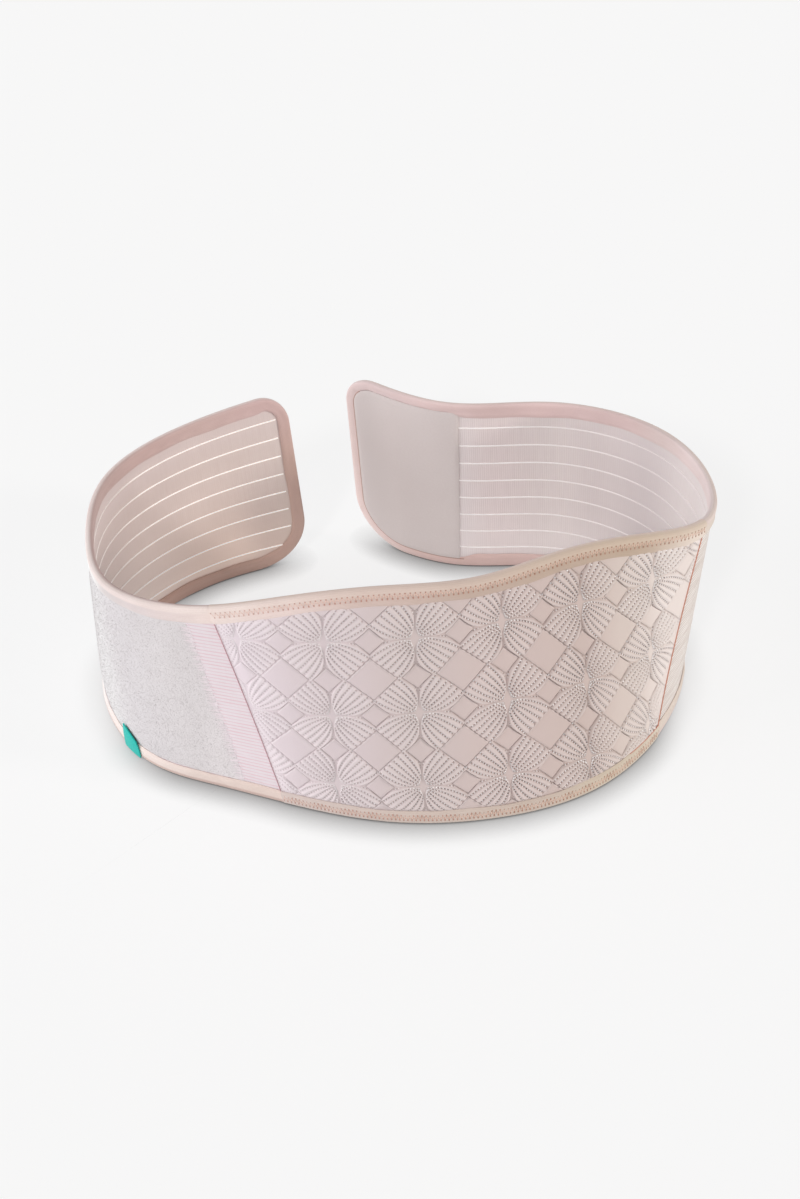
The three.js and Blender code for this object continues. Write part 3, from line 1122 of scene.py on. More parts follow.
@dataclass(frozen=True)
class Strand:
    """Cross-section of a thread or covered rubber that lies on the cloth."""

    wide: float
    tall: float
    around: int = 8

    def laid(self, stretch: Stretch, stops: Stops, out: float, inward: float = 0.0) -> Laid:
        """Lays the strand along a line.

        Args:
            stretch: the stretch it lies on.
            stops: the line, with the way across to its left as seen from outside.
            out: distance of its middle out from the wall.
            inward: how far it lies across from the line.

        Returns:
            Its points, their places on the cut and its faces.
        """
        turn = (np.arange(self.around) / self.around * 2 * math.pi)[:, None]
        part, up = stops.shifted(stretch, inward + self.wide / 2 * np.cos(turn))
        points = stretch.place(part, up, out + self.tall / 2 * np.sin(turn))
        lines = len(stops.part)
        ring = np.arange(self.around) * lines
        faces = grid_faces(self.around, lines, closed=True)
        faces += [ring.tolist(), (ring + lines - 1)[::-1].tolist()]
        return points.reshape(-1, 3), flat_cut(stretch.along(part, 0.5), up).reshape(-1, 2), faces

    @staticmethod
    def piece(name: str, laid: Sequence[Laid], finish: Finish, slot: str) -> Piece:
        """Makes one piece of strands that have been laid.

        Args:
            name: the piece's name.
            laid: what each strand gave.
            finish: their finish.
            slot: the material slot of what they lie on.

        Returns:
            The piece.
        """
        points, cuts, own = zip(*laid)
        firsts = np.cumsum([0, *map(len, points)])
        faces = [[v + int(first) for v in face] for first, some in zip(firsts, own) for face in some]
        return settle(Cutter.mesh(name, np.concatenate(points), faces, finish, np.concatenate(cuts)), slot)


@dataclass
class QuiltPanel:
    """Padded front panel, embossed with flowers and diamonds."""

    coarse_lines: int = 50
    coarse_rows: int = 29
    fine: int = 12
    petal_rise: float = 1.9
    petal_shares: tuple[float, float, float] = (0.26, 0.16, 0.58)
    petal_long: float = 27.0
    scallop: float = 0.7
    scallop_soft: float = 0.45
    side_soft: float = 0.5
    rib_wide: Pair = (0.3, 2.2)
    diamond_rise: float = 1.2
    diamond_crown: float = 0.2
    diamond_soft: float = 0.42
    groove: float = 0.35
    puff: tuple[Pair, ...] = ((-110.0, 0.7), (0.0, 1.05), (90.0, 1.4), (130.0, 1.2))
    edge_fade: float = 3.0
    edge_ease: float = 0.7
    edge_tuck: float = 1.5
    seam_fade: float = 8.0

    def relief(self, x: Array, y: Array) -> Array:
        """Height of the embossing over the pad's outer face.

        Args:
            x: places along the band, from a column of flowers.
            y: heights over the lowest row of flowers.

        Returns:
            The heights.
        """
        repeat = LATTICE.repeat
        fold_x, fold_y = (np.abs(v - repeat * np.round(v / repeat)) for v in (x, y))
        ahead = (fold_x + fold_y) / math.sqrt(2)
        beside = np.abs(fold_x - fold_y) / math.sqrt(2)
        from_big = (repeat - fold_x - fold_y - LATTICE.big) / math.sqrt(2)
        from_small = (repeat / 2 - np.abs(fold_x - fold_y) - LATTICE.small) / math.sqrt(2)
        fan = LATTICE.fan(ahead)
        wide = 2 * fan / LATTICE.ribs
        swell = np.abs(np.cos(math.pi * beside / wide))
        thin, full = self.rib_wide
        strength = np.clip((wide - thin) / (full - thin), 0, 1)
        scallop = np.maximum(np.minimum(from_big, from_small) - self.scallop * (1 - swell), 0)
        end = np.exp(-((scallop / self.scallop_soft) ** 2))
        side = np.minimum(*LATTICE.sides(fold_x, fold_y, np.exp))
        border = np.maximum(np.minimum(fan - beside, side), 0)
        inside = 1 - np.exp(-((border / self.side_soft) ** 2))
        dome = np.sin(math.pi * np.clip(ahead / self.petal_long, 0, 1)) ** 0.5
        base, domed, ribbed = self.petal_shares
        petal = base + (domed * dome + ribbed * swell * strength) * inside
        petal *= self.petal_rise * np.interp(x, *zip(*self.puff))
        petal = blend(petal, self.groove, end)
        big_face = self.pillow(from_big, LATTICE.big)
        small_face = self.pillow(from_small, LATTICE.small)
        return np.where(from_big < 0, big_face, np.where(from_small < 0, small_face, petal))

    def pillow(self, edge: Array, half: float) -> Array:
        """Height of a smooth diamond.

        Args:
            edge: distances from its edge, negative inside it.
            half: half its diagonal.

        Returns:
            The heights.
        """
        inside = np.maximum(-edge, 0)
        crown = 1 - (1 - np.clip(inside * math.sqrt(2) / half, 0, 1)) ** 2
        rise = self.diamond_rise * (1 - self.diamond_crown + self.diamond_crown * crown)
        return blend(rise, self.groove, np.exp(-((inside / self.diamond_soft) ** 2)))

    def face(self, lines: int, rows: int, out: float, raised: bool) -> tuple[Array, Array]:
        """Lays out one face of the pad.

        Args:
            lines: how many points a row has.
            rows: how many rows it has.
            out: distance of the face out from the wall.
            raised: whether it carries the embossing.

        Returns:
            The points and their places on the cut.
        """
        part = np.linspace(PANEL.seam, 1 - PANEL.seam, lines)
        inset = LAYERS.edge_inset
        part, up = PANEL.grid(part, inset, PANEL.height(part) - inset, rows)
        along, share = PANEL.spot(part, up)
        x, y = LATTICE.swayed(along, share * WALL.tall(along) - WALL.below(along))
        rise = np.zeros_like(up)
        if raised:
            seam = np.clip(np.minimum(part, 1 - part) * PANEL.length / self.seam_fade, 0, 1)
            edge = np.minimum(up, PANEL.height(part) - up) - TAPE_OUTER + self.edge_tuck
            rise = self.relief(x, y) * seam * np.clip(edge / self.edge_fade, 0, 1) ** self.edge_ease
        points = WALL.point(along, share, out + rise)
        return points.reshape(-1, 3), np.stack((x, y), axis=-1).reshape(-1, 2) / LATTICE.repeat

    def build(self) -> None:
        """Makes the pad: a fine outer face, a plain inner face and the rim between them."""
        fine = self.fine
        lines = self.coarse_lines * fine + 1
        rows = self.coarse_rows * fine + 1
        outer, outer_cut = self.face(lines, rows, LAYERS.pad / 2, True)
        few_lines = self.coarse_lines + 1
        few_rows = self.coarse_rows + 1
        inner, inner_cut = self.face(few_lines, few_rows, -LAYERS.pad / 2, False)
        first = lines * rows
        faces = grid_faces(rows, lines)
        faces += [face[::-1] for face in grid_faces(few_rows, few_lines, first)]
        many = np.arange(first).reshape(rows, lines)
        few = np.arange(few_rows * few_lines).reshape(few_rows, few_lines) + first
        for side in ((0, BACKWARDS), (-1, slice(None)), (slice(None), 0), (BACKWARDS, -1)):
            ends = few[side].tolist()
            for i in range(len(ends) - 1):
                run = many[side][i * fine : (i + 1) * fine + 1].tolist()
                faces.append([*run, ends[i + 1], ends[i]])
        points = np.concatenate((outer, inner))
        cut = np.concatenate((outer_cut, inner_cut))
        piece = Cutter.mesh("quilted_pad", points, faces, QuiltedKnit(), cut)
        settle(piece, "quilted_fabric", "quilt_panel")


@dataclass
class Wing:
    """Elastic webbing of one side, with white ribs on its inner face."""

    side: str
    stretch: Stretch
    outer: ElasticWebbing
    inner: ElasticWebbing
    rib_cover: PlainCloth
    rib_run: Pair
    line_step: float = 2.5
    rows: int = 41
    ribs: int = 8
    rib_first: float = 0.122
    rib_pitch: float = 0.106
    rib_lines: int = 170
    rib_seat: float = 0.1
    strand: Strand = Strand(wide=0.85, tall=1.0, around=10)

    def web(self) -> Piece:
        """Makes the webbing.

        Returns:
            The piece.
        """
        stretch = self.stretch
        inset = LAYERS.edge_inset
        part = stretch.lines(inset, self.line_step, stretch.seam, 1 - stretch.seam)
        part, up = stretch.grid(part, *stretch.edges(part, inset, inset), self.rows)
        points = stretch.place(part, up, 0.0)
        cut = flat_cut(stretch.spot(part, up)[0], up)
        piece = Cutter.sheet(f"{self.side}_webbing", points, cut, LAYERS.web, self.outer, self.inner)
        return settle(piece, f"{self.side}_webbing", f"{self.side}_wing")

    def white_ribs(self) -> Piece:
        """Makes the ribs: covered rubber that stands up from the inner face.

        Returns:
            The piece.
        """
        part = np.linspace(*self.rib_run, self.rib_lines)
        tall = self.stretch.height(part)
        shares = self.rib_first + self.rib_pitch * np.arange(self.ribs)
        out = -LAYERS.web / 2 - self.rib_seat
        rows = [Stops.line(part, share * tall, 0.0, 1.0) for share in shares]
        laid = [self.strand.laid(self.stretch, row, out) for row in rows]
        return Strand.piece(f"{self.side}_white_ribs", laid, self.rib_cover, f"{self.side}_webbing")

    def build(self) -> None:
        """Makes the wing."""
        web = self.web()
        ribs = self.white_ribs()


@dataclass
class Patch:
    """Closing patch that lies on one face of a wing."""

    name: str
    node: str
    slot: str
    stretch: Stretch
    inset: float
    side: float
    out: float
    thick: float
    flat: Pair
    web: str
    foot_inset: float
    sink: float
    taper: float
    slant: float
    slant_reach: float = 60.0
    line_step: float = 2.0
    rows: int = 57

    def edges(self, part: Array) -> tuple[Array, Array]:
        """Lower and upper edges of the patch."""
        return self.stretch.edges(part, self.foot_inset, self.inset)

    def level(self, part: Array, up: Array) -> Array:
        """Distance of the patch's middle out from the wall: its rim is sewn down.

        Args:
            part: shares of the stretch's length.
            up: heights up from the foot.

        Returns:
            The distances.
        """
        low, high = self.edges(part)
        stretch = self.stretch
        from_side = (self.side - part) * stretch.inwards * stretch.length
        ends = np.minimum(from_side, stretch.distance(part) - self.inset)
        edge = np.minimum(ends, np.minimum(up - low, high - up))
        sunk = self.sink * (1 - np.clip(edge / self.taper, 0, 1)) ** 2
        return self.out - math.copysign(1.0, self.out) * sunk

    def slanted(self, part: Array, up: Array) -> Array:
        """Shifts shares of the length near the patch's inner side, which isn't square to the band."""
        near = np.clip(1 - np.abs(part - self.side) * self.stretch.length / self.slant_reach, 0, 1)
        return part + self.slant * (up / self.stretch.height(part) - 0.5) * near / self.stretch.length

    def build(self, finish: PlainCloth, with_pieces: Sequence[Piece] = ()) -> None:
        """Makes the patch.

        Args:
            finish: its cloth.
            with_pieces: what is sewn to it; not used.
        """
        stretch = self.stretch
        part = stretch.lines(self.inset, self.line_step, self.side, self.side)
        part, up = stretch.grid(part, *self.edges(part), self.rows)
        out = self.level(part, up)
        part = self.slanted(part, up)
        cut = flat_cut(stretch.spot(part, up)[0], up)
        piece = Cutter.sheet(self.name, stretch.place(part, up, out), cut, self.thick, finish)
        settle(piece, self.slot, self.node)


@dataclass
class PlushPile:
    """Short brushed pile on the plush patch, and threads of the webbing that fray over its inner side."""

    count: int = 42000
    frayed: int = 480
    length: float = 0.7
    thick: float = 0.34
    fray_long: float = 6.5
    fray_thick: float = 0.42
    fray_lift: float = 0.45
    heights: Pair = (0.004, 0.996)
    lean: float = 0.4
    rises: Pair = (0.4, 0.96)
    lifts: Pair = (0.05, 0.35)
    sunk: float = 0.2
    fray_roots: Pair = (-0.5, 1.5)
    fray_reach: Pair = (0.3, 1.0)
    fray_ease: float = 1.5
    fray_lean: float = 0.15
    seed: int = 11

    def piece(self, name: str, patch: Patch, root: Array, tip: Array, finish: PlainCloth) -> Piece:
        """Makes one kind of tapered fibre all over its part of a patch.

        Args:
            name: the piece's name.
            patch: what the fibres stand on.
            root: each root's share of the length, share of the height and width.
            tip: how far each tip lies along, up and out from its root.
            finish: the yarn.

        Returns:
            The piece.
        """
        stretch = patch.stretch
        part, share, thick = root
        low, high = patch.edges(part)
        up = blend(low, high, share)
        out = patch.level(part, up) + patch.thick / 2
        part = patch.slanted(part, up)
        tip_part = part + tip[0] / stretch.length
        tip_up = np.clip(up + tip[1], low, high)
        ahead = np.stack(((tip_part - part) * stretch.length, tip_up - up))
        beside, under = thick / 2 * ahead / np.hypot(*ahead)
        corners = (
            stretch.place(part - under / stretch.length, up + beside, out),
            stretch.place(part + under / stretch.length, up - beside, out),
            stretch.place(part, up, out - self.sunk),
            stretch.place(tip_part, tip_up, out + tip[2]),
        )
        first = np.arange(len(part))[:, None] * len(corners)
        model = ((0, 1, 3), (1, 2, 3), (2, 0, 3), (0, 2, 1))
        faces = np.concatenate([first + np.array(face) for face in model]).tolist()
        cut = flat_cut(stretch.along(part, 0.5), up).repeat(len(corners), axis=0)
        return settle(Cutter.mesh(name, np.stack(corners, axis=1), faces, finish, cut), "plush_pile")

    def build(self, patch: Patch, yarn: PlainCloth, fray: PlainCloth) -> list[Piece]:
        """Makes the pile of a patch and the threads that fray over it.

        Args:
            patch: what they stand on.
            yarn: the pile's yarn.
            fray: the frayed threads' yarn.

        Returns:
            Both pieces.
        """
        random = np.random.default_rng(self.seed)
        count = self.count
        length = patch.stretch.length
        part = random.uniform(patch.inset / length, patch.side, count)
        root = np.stack((part, random.uniform(*self.heights, count), np.full(count, self.thick)))
        rise = random.choice((-1.0, 1.0), count) * self.length * random.uniform(*self.rises, count)
        tip = np.stack((random.normal(0.0, self.lean, count), rise, random.uniform(*self.lifts, count)))
        pile = self.piece("plush_pile", patch, root, tip, yarn)
        count = self.frayed
        part = patch.side + random.uniform(*self.fray_roots, count) / length
        root = np.stack((part, random.uniform(*self.heights, count), np.full(count, self.fray_thick)))
        reach = -self.fray_long * random.uniform(*self.fray_reach, count) ** self.fray_ease
        up = blend(*patch.edges(part), root[1])
        climb = patch.level(part + reach / length, up) - patch.level(part, up) + self.fray_lift
        tip = np.stack((reach, random.normal(0.0, self.fray_lean, count), climb))
        return [pile, self.piece("plush_fray", patch, root, tip, fray)]


@dataclass
class EdgeTape:
    """Soft tape folded over an edge of the band."""

    name: str
    node: str
    slot: str
    stretch: Stretch
    held: float
    finish: FoldedTape
    outer_head: float = TAPE_OUTER
    outer_foot: float = 8.8
    inner_end: float = TAPE_INNER
    end_reach: float = 12.0
    end_ease: float = 14.0
    step: float = 1.5
    leg_points: int = 13
    crown_points: int = 7
    puff: float = 0.45
    puff_ease: float = 0.7
    dent: float = 0.3
    dent_at: float = 5.0
    dent_wide: float = 1.9
    pressed: float = 0.08
    pressed_wide: float = 2.8
    wave: float = 0.35
    waves: tuple[tuple[float, float, float], ...] = ((13.0, 1.0, 0.0), (5.7, 0.7, 1.1))
    wave_from: float = 3.0
    wave_ease: float = 7.0
    pucker: float = 0.12
    pucker_long: float = 2.3
    pucker_drift: Pair = (9.0, 0.8)

    def edge_stops(self, start: float, finish: float, edge: Edge) -> Stops:
        """Runs along the head or the foot.

        Args:
            start: share of the length where the run starts.
            finish: share of the length where it finishes.
            edge: which edge it runs along.

        Returns:
            The stops.
        """
        count = max(2, round(abs(finish - start) * self.stretch.length / self.step))
        part = np.linspace(start, finish, count)
        if edge is Edge.HEAD:
            return Stops.line(part, self.stretch.height(part), 0.0, -1.0)
        return Stops.line(part, 0.0, 0.0, 1.0)

    def corner_stops(self, radius: float, edge: Edge) -> Stops:
        """Runs round one corner of the free end, from the long edge to the end.

        Args:
            radius: the corner's radius.
            edge: which edge the corner is on.

        Returns:
            The stops.
        """
        turn = np.linspace(0, math.pi / 2, max(8, round(radius * math.pi / 2 / self.step)))
        part = self.stretch.from_end(radius * (1 - np.sin(turn)))
        drop = radius * (1 - np.cos(turn))
        in_part = np.sin(turn) * self.stretch.inwards
        if edge is Edge.HEAD:
            return Stops(part, self.stretch.height(part) - drop, in_part, -np.cos(turn))
        return Stops(part, drop, in_part, np.cos(turn))

    def wing_stops(self) -> Stops:
        """Runs out along the head, down the free end and back along the foot.

        Returns:
            The stops.
        """
        stretch = self.stretch
        seam = 1 - stretch.seam if stretch.end is FreeEnd.START else stretch.seam
        head = self.edge_stops(seam, float(stretch.from_end(CORNER.head + self.step)), Edge.HEAD)
        head_corner = self.corner_stops(CORNER.head, Edge.HEAD)
        foot_corner = self.corner_stops(CORNER.foot, Edge.FOOT).picked(BACKWARDS)
        top = head_corner.up[-1]
        bottom = foot_corner.up[0]
        drop = np.linspace(top, bottom, round((top - bottom) / self.step))[1:-1]
        end = Stops.line(stretch.from_end(0.0), drop, stretch.inwards, 0.0)
        foot = self.edge_stops(float(stretch.from_end(CORNER.foot + self.step)), seam, Edge.FOOT)
        return Stops.chain(head, head_corner, end, foot_corner, foot)

    def inner_lap(self, stops: Stops) -> Array:
        """Width of the inner leg, which may be narrower round a free end."""
        ease = np.clip((self.stretch.distance(stops.part) - self.end_reach) / self.end_ease, 0, 1)
        return blend(self.inner_end, TAPE_INNER, ease * ease * (3 - 2 * ease))

    def outer_lap(self, stops: Stops) -> Array:
        """Width of the outer leg, from its width on the head to its width on the foot."""
        return blend(self.outer_head, self.outer_foot, (stops.in_up + 1) / 2)

    @property
    def seat(self) -> float:
        """Distance of a leg's middle out from the wall."""
        return self.held / 2 + LAYERS.gap + LAYERS.tape / 2

    def leg_out(self, inward: Array, lap: Array) -> Array:
        """Distance of a leg's middle out from the wall: puffed, sewn in and pressed down at its edge.

        Args:
            inward: distances in from the edge.
            lap: the leg's width.

        Returns:
            The distances.
        """
        share = np.sin(math.pi * np.clip(inward / lap, 0, 1))
        sewn = self.dent * np.exp(-(((inward - self.dent_at) / self.dent_wide) ** 2))
        free = np.clip((lap - inward) / self.pressed_wide, 0, 1)
        seat = blend(self.held / 2 + self.pressed, self.seat, free * (2 - free))
        return seat + self.puff * share**self.puff_ease - sewn * share

    def face_point(self, edge: Edge, part: Array, deep: Array, over: float = 0.0) -> Array:
        """Finds points on the outer leg's face.

        Args:
            edge: which edge the tape is on.
            part: shares of the stretch's length.
            deep: distances in from the edge.
            over: distance out from the face.

        Returns:
            The points, in millimetres.
        """
        at_head = edge is Edge.HEAD
        out = self.leg_out(deep, self.outer_head if at_head else self.outer_foot) + LAYERS.tape / 2
        return self.stretch.place(part, self.stretch.height(part) - deep if at_head else deep, out + over)

    def fold(self, stops: Stops) -> tuple[Array, Array]:
        """Cross-section of the folded tape at each stop: outer leg, crown, inner leg.

        Args:
            stops: where it runs.

        Returns:
            Distances in from the edge and out from the wall.
        """
        crown = self.seat
        outer_lap = self.outer_lap(stops)
        inner_lap = self.inner_lap(stops)
        leg = np.linspace(0, 1, self.leg_points)[:, None]
        outer_in = blend(outer_lap, crown, leg)
        inner_in = blend(crown, inner_lap, leg)
        turn = np.linspace(0, math.pi, self.crown_points + 2)[1:-1, None]
        crown_in = crown - (crown - LAYERS.tape / 2) * np.sin(turn)
        crown_in = np.broadcast_to(crown_in, (len(turn), len(stops.part)))
        outer_out = self.leg_out(outer_in, outer_lap)
        inner_out = -self.leg_out(inner_in, inner_lap)
        middle = (outer_out[-1] + inner_out[0]) / 2
        crown_out = middle + (outer_out[-1] - inner_out[0]) / 2 * np.cos(turn)
        inward = np.concatenate((outer_in, crown_in, inner_in))
        return inward, np.concatenate((outer_out, crown_out, inner_out))

    def build(self, stops: Stops, turned: bool, with_pieces: Sequence[Piece] = ()) -> None:
        """Makes the tape.

        Args:
            stops: where it runs.
            turned: whether the stops run so that the faces would point inwards.
            with_pieces: its stitching; not used.
        """
        inward, out = self.fold(stops)
        run = run_length(self.stretch.place(stops.part, stops.up, 0.0))
        lap = np.clip((inward - self.wave_from) / self.wave_ease, 0, 1)
        swing = sum(share * np.sin(run / long + phase) for long, share, phase in self.waves)
        drift_long, drift = self.pucker_drift
        pucker = np.sin(run / self.pucker_long + drift * np.sin(run / drift_long)) * np.sign(out)
        part, up = stops.shifted(self.stretch, inward + self.wave * swing * lap)
        points = self.stretch.place(part, up, out + self.pucker * pucker * lap * (1 - lap) * 4)
        wide = run_length(points[:, 0])
        cut = flat_cut(run[None, :], wide[:, None])
        if turned:
            points = points[:, ::-1]
            cut = cut[:, ::-1]
        piece = Cutter.sheet(self.name, points, cut, LAYERS.tape, self.finish)
        settle(piece, self.slot, self.node)


@dataclass
class PanelTapes:
    """Tapes over the panel's head and foot, with their zigzag stitching."""

    needle: Needle
    head: FoldedTape
    foot: FoldedTape
    thread: Thread
    # prick colours the needle marks: painted shade of the needle holes.
    prick: Thread
    period: float = 2.6
    run: Pair = (0.004, 0.996)
    rows: Pair = (2.4, 5.7)
    foot_rows: Pair = (3.5, 6.5)
    slack: float = 0.08
    thread_wide: float = 0.55
    mark: float = 1.1
    mark_wide: float = 0.95
    over_crown: float = 0.4

    def zigzag(self, tape: EdgeTape, edge: Edge) -> list[Piece]:
        """Sews the zigzag and leaves a needle's mark at each of its turns, a dark stitch of painted shade
        that stands for the needle hole.

        Args:
            tape: the tape that it holds.
            edge: which edge the tape is on.

        Returns:
            The thread and the marks.
        """
        rows = self.rows if edge is Edge.HEAD else self.foot_rows
        steps = int(PANEL.length / self.period * len(rows))
        part = np.linspace(*self.run, steps)
        deep = np.array(rows)[np.arange(steps) % len(rows)]
        turns = tape.face_point(edge, part, deep)
        outs = tape.face_point(edge, part, deep, 1.0) - turns
        gap = np.diff(turns, axis=0) * self.slack / 2
        ends = turns[:-1] + gap, turns[1:] - gap
        thread = self.needle.sew(f"{tape.name}_zigzag", ends, outs[:-1], self.thread_wide, self.thread,
                                 tape.slot)
        # The needle marks are dark stitches of painted shade, standing for the needle holes.
        crown = tape.seat - self.over_crown
        ends = [tape.face_point(edge, part, np.maximum(deep + far, crown)) for far in (-self.mark, self.mark)]
        marks = self.needle.sew(f"{tape.name}_needle_holes", ends, outs, self.mark_wide, self.prick,
                                tape.slot)
        return [thread, marks]

    def build(self) -> None:
        """Makes both tapes."""
        for name, node, edge, finish, turned in (
            ("panel_top_tape", "panel_top_binding", Edge.HEAD, self.head, False),
            ("panel_bottom_tape", "panel_bottom_binding", Edge.FOOT, self.foot, True),
        ):
            tape = EdgeTape(name, node, "panel_tape", PANEL, LAYERS.pad, finish)
            tape.build(tape.edge_stops(0.0, 1.0, edge), turned, self.zigzag(tape, edge))


@dataclass
class SeamStitching:
    """Close rows of stitches down the slanted seams at the panel's sides and round the hook patch."""

    left: Thread
    right: Thread
    hook: Thread
    out: float = 1.75
    seam_low: float = 8.0
    seam_tuck: float = 0.5
    seam_stops: int = 140
    foot_run: Pair = (0.88, 1.0)
    foot_up: float = 9.0
    foot_out: float = 2.0
    foot_stops: int = 90
    left_strand: Strand = Strand(wide=0.4, tall=0.8)
    right_strand: Strand = Strand(wide=0.42, tall=0.9)
    hook_strand: Strand = Strand(wide=0.7, tall=0.6)

    def seam(self, part: float) -> Stops:
        """Runs up one of the panel's seams, at its share of the panel's length."""
        top = float(PANEL.height(np.array(part))) - TAPE_OUTER + self.seam_tuck
        return Stops.line(part, np.linspace(self.seam_low, top, self.seam_stops), -1.0, 0.0)

    def build(self, hook_edge: Stops, hook_inset: float, hook_out: float) -> None:
        """Sews the seams.

        Args:
            hook_edge: the edge of the band beside the hook patch.
            hook_inset: how far in from it the patch is sewn.
            hook_out: distance of that row out from the wall.
        """
        foot = Stops.line(np.linspace(*self.foot_run, self.foot_stops), self.foot_up, 0.0, 1.0)
        left = self.left_strand.laid(PANEL, self.seam(0.0), self.out)
        right = self.right_strand.laid(PANEL, self.seam(1.0), self.out)
        beside = self.right_strand.laid(PANEL, foot, self.foot_out)
        hook = self.hook_strand.laid(RIGHT_WING, hook_edge, hook_out, hook_inset)
        Strand.piece("left_seam_thread", [left], self.left, "quilted_fabric")
        Strand.piece("right_seam_thread", [right, beside], self.right, "quilted_fabric")
        Strand.piece("hook_patch_thread", [hook], self.hook, "hook_tape")


@dataclass
class SideTag:
    """Small plain tag, a folded loop of tape that leans over the lower tape on the left."""

    foot: Pair = (-192.0, -179.5)
    head: Pair = (-188.0, -179.2)
    lift: float = 0.5
    tall: Pair = (19.3, 12.4)
    arch: float = 0.9
    bulge: float = 0.6
    thick: float = 0.8
    puff: float = 0.5
    puff_ease: float = 0.6
    lines: int = 24
    rows: int = 28

    def build(self, weave: PlainCloth) -> None:
        """Makes the tag.

        Args:
            weave: its cloth.
        """
        seat = LAYERS.web / 2 + LAYERS.gap + LAYERS.plush + LAYERS.gap + self.thick / 2
        across = np.linspace(0, 1, self.lines)[None, :]
        rise = np.linspace(0, 1, self.rows)[:, None]
        along = blend(blend(*self.foot, across), blend(*self.head, across), rise)
        along = along + self.bulge * np.sin(math.pi * rise) * (2 * across - 1)
        up = blend(self.lift, blend(*self.tall, across) + self.arch * np.sin(math.pi * across), rise)
        out = seat + self.puff * np.sin(math.pi * across) * np.sin(math.pi * rise) ** self.puff_ease
        points = LEFT_WING.place(LEFT_WING.part_at(along, 0.0), up, out)
        piece = Cutter.sheet("plain_tag", points, flat_cut(along, up), self.thick, weave)
        settle(piece, "tag_tape", "side_tag")


@dataclass
class Studio:
    """Pale floor, soft light and the camera at the photograph's angle."""

    eye: tuple[float, float, float] = (0.93, -834.6, 794.7)
    pitch: float = 41.56
    focal: float = 1800.0
    tall: float = 1199.0
    sensor: float = 36.0
    sky: float = 0.35
    floor_size: float = 120.0
    floor_level: float = -0.0002

    def camera(self) -> None:
        """Places the camera."""
        data = bpy.data.cameras.new("camera")
        data.sensor_width = self.sensor
        data.lens = self.focal / self.tall * self.sensor
        data.clip_start = 0.01
        data.clip_end = 50.0
        camera = bpy.data.objects.new("camera", data)
        camera.location = tuple(v * MM for v in self.eye)
        camera.rotation_euler = (math.radians(90 - self.pitch), 0.0, 0.0)
        bpy.context.scene.collection.objects.link(camera)
        bpy.context.scene.camera = camera

    def floor(self) -> None:
        """Lays the floor."""
        bpy.ops.object.select_all(action="DESELECT")
        bpy.ops.mesh.primitive_plane_add(size=self.floor_size, location=(0.0, 0.0, 0.0))
        floor = bpy.context.object
        floor.name = "floor"
        for vertex in floor.data.vertices:
            vertex.co.z = self.floor_level
        Cutter.dress(floor, StudioFloor())

    def light(self, name: str, toward: Colour, spread: float, power: float, colour: Colour) -> None:
        """Hangs a broad soft light, far enough away to light the floor evenly.

        Args:
            name: the light's name.
            toward: which way it lies from the band.
            spread: how broad it looks, in degrees.
            power: its power.
            colour: its colour.
        """
        data = bpy.data.lights.new(name, "SUN")
        data.angle = math.radians(spread)
        data.energy = power
        data.color = colour
        lamp = bpy.data.objects.new(name, data)
        x, y, z = toward
        tilt = math.pi / 2 - math.atan2(z, math.hypot(x, y))
        lamp.rotation_euler = (tilt, 0.0, math.atan2(y, x) + math.pi / 2)
        lamp.location = toward
        bpy.context.scene.collection.objects.link(lamp)

    def build(self) -> None:
        """Sets up the studio."""
        self.camera()
        self.floor()
        world = bpy.data.worlds.new("soft_room")
        world.use_nodes = True
        sky = world.node_tree.nodes["Background"].inputs
        sky["Color"].default_value = (1.0, 1.0, 1.0, 1.0)
        sky["Strength"].default_value = self.sky
        bpy.context.scene.world = world
        self.light("top", (-0.06, 0.16, 1.0), 30.0, 0.35, (1.0, 1.0, 1.0))
        self.light("key", (-1.0, -0.22, 0.27), 40.0, 1.6, (1.0, 0.99, 1.02))
        self.light("front", (-0.4, -1.0, 0.8), 8.0, 0.85, (1.0, 0.98, 0.97))
        self.light("fill", (1.0, -0.2, 0.24), 9.0, 1.5, (1.0, 0.955, 0.9))
        bpy.context.scene.view_settings.view_transform = "Standard"


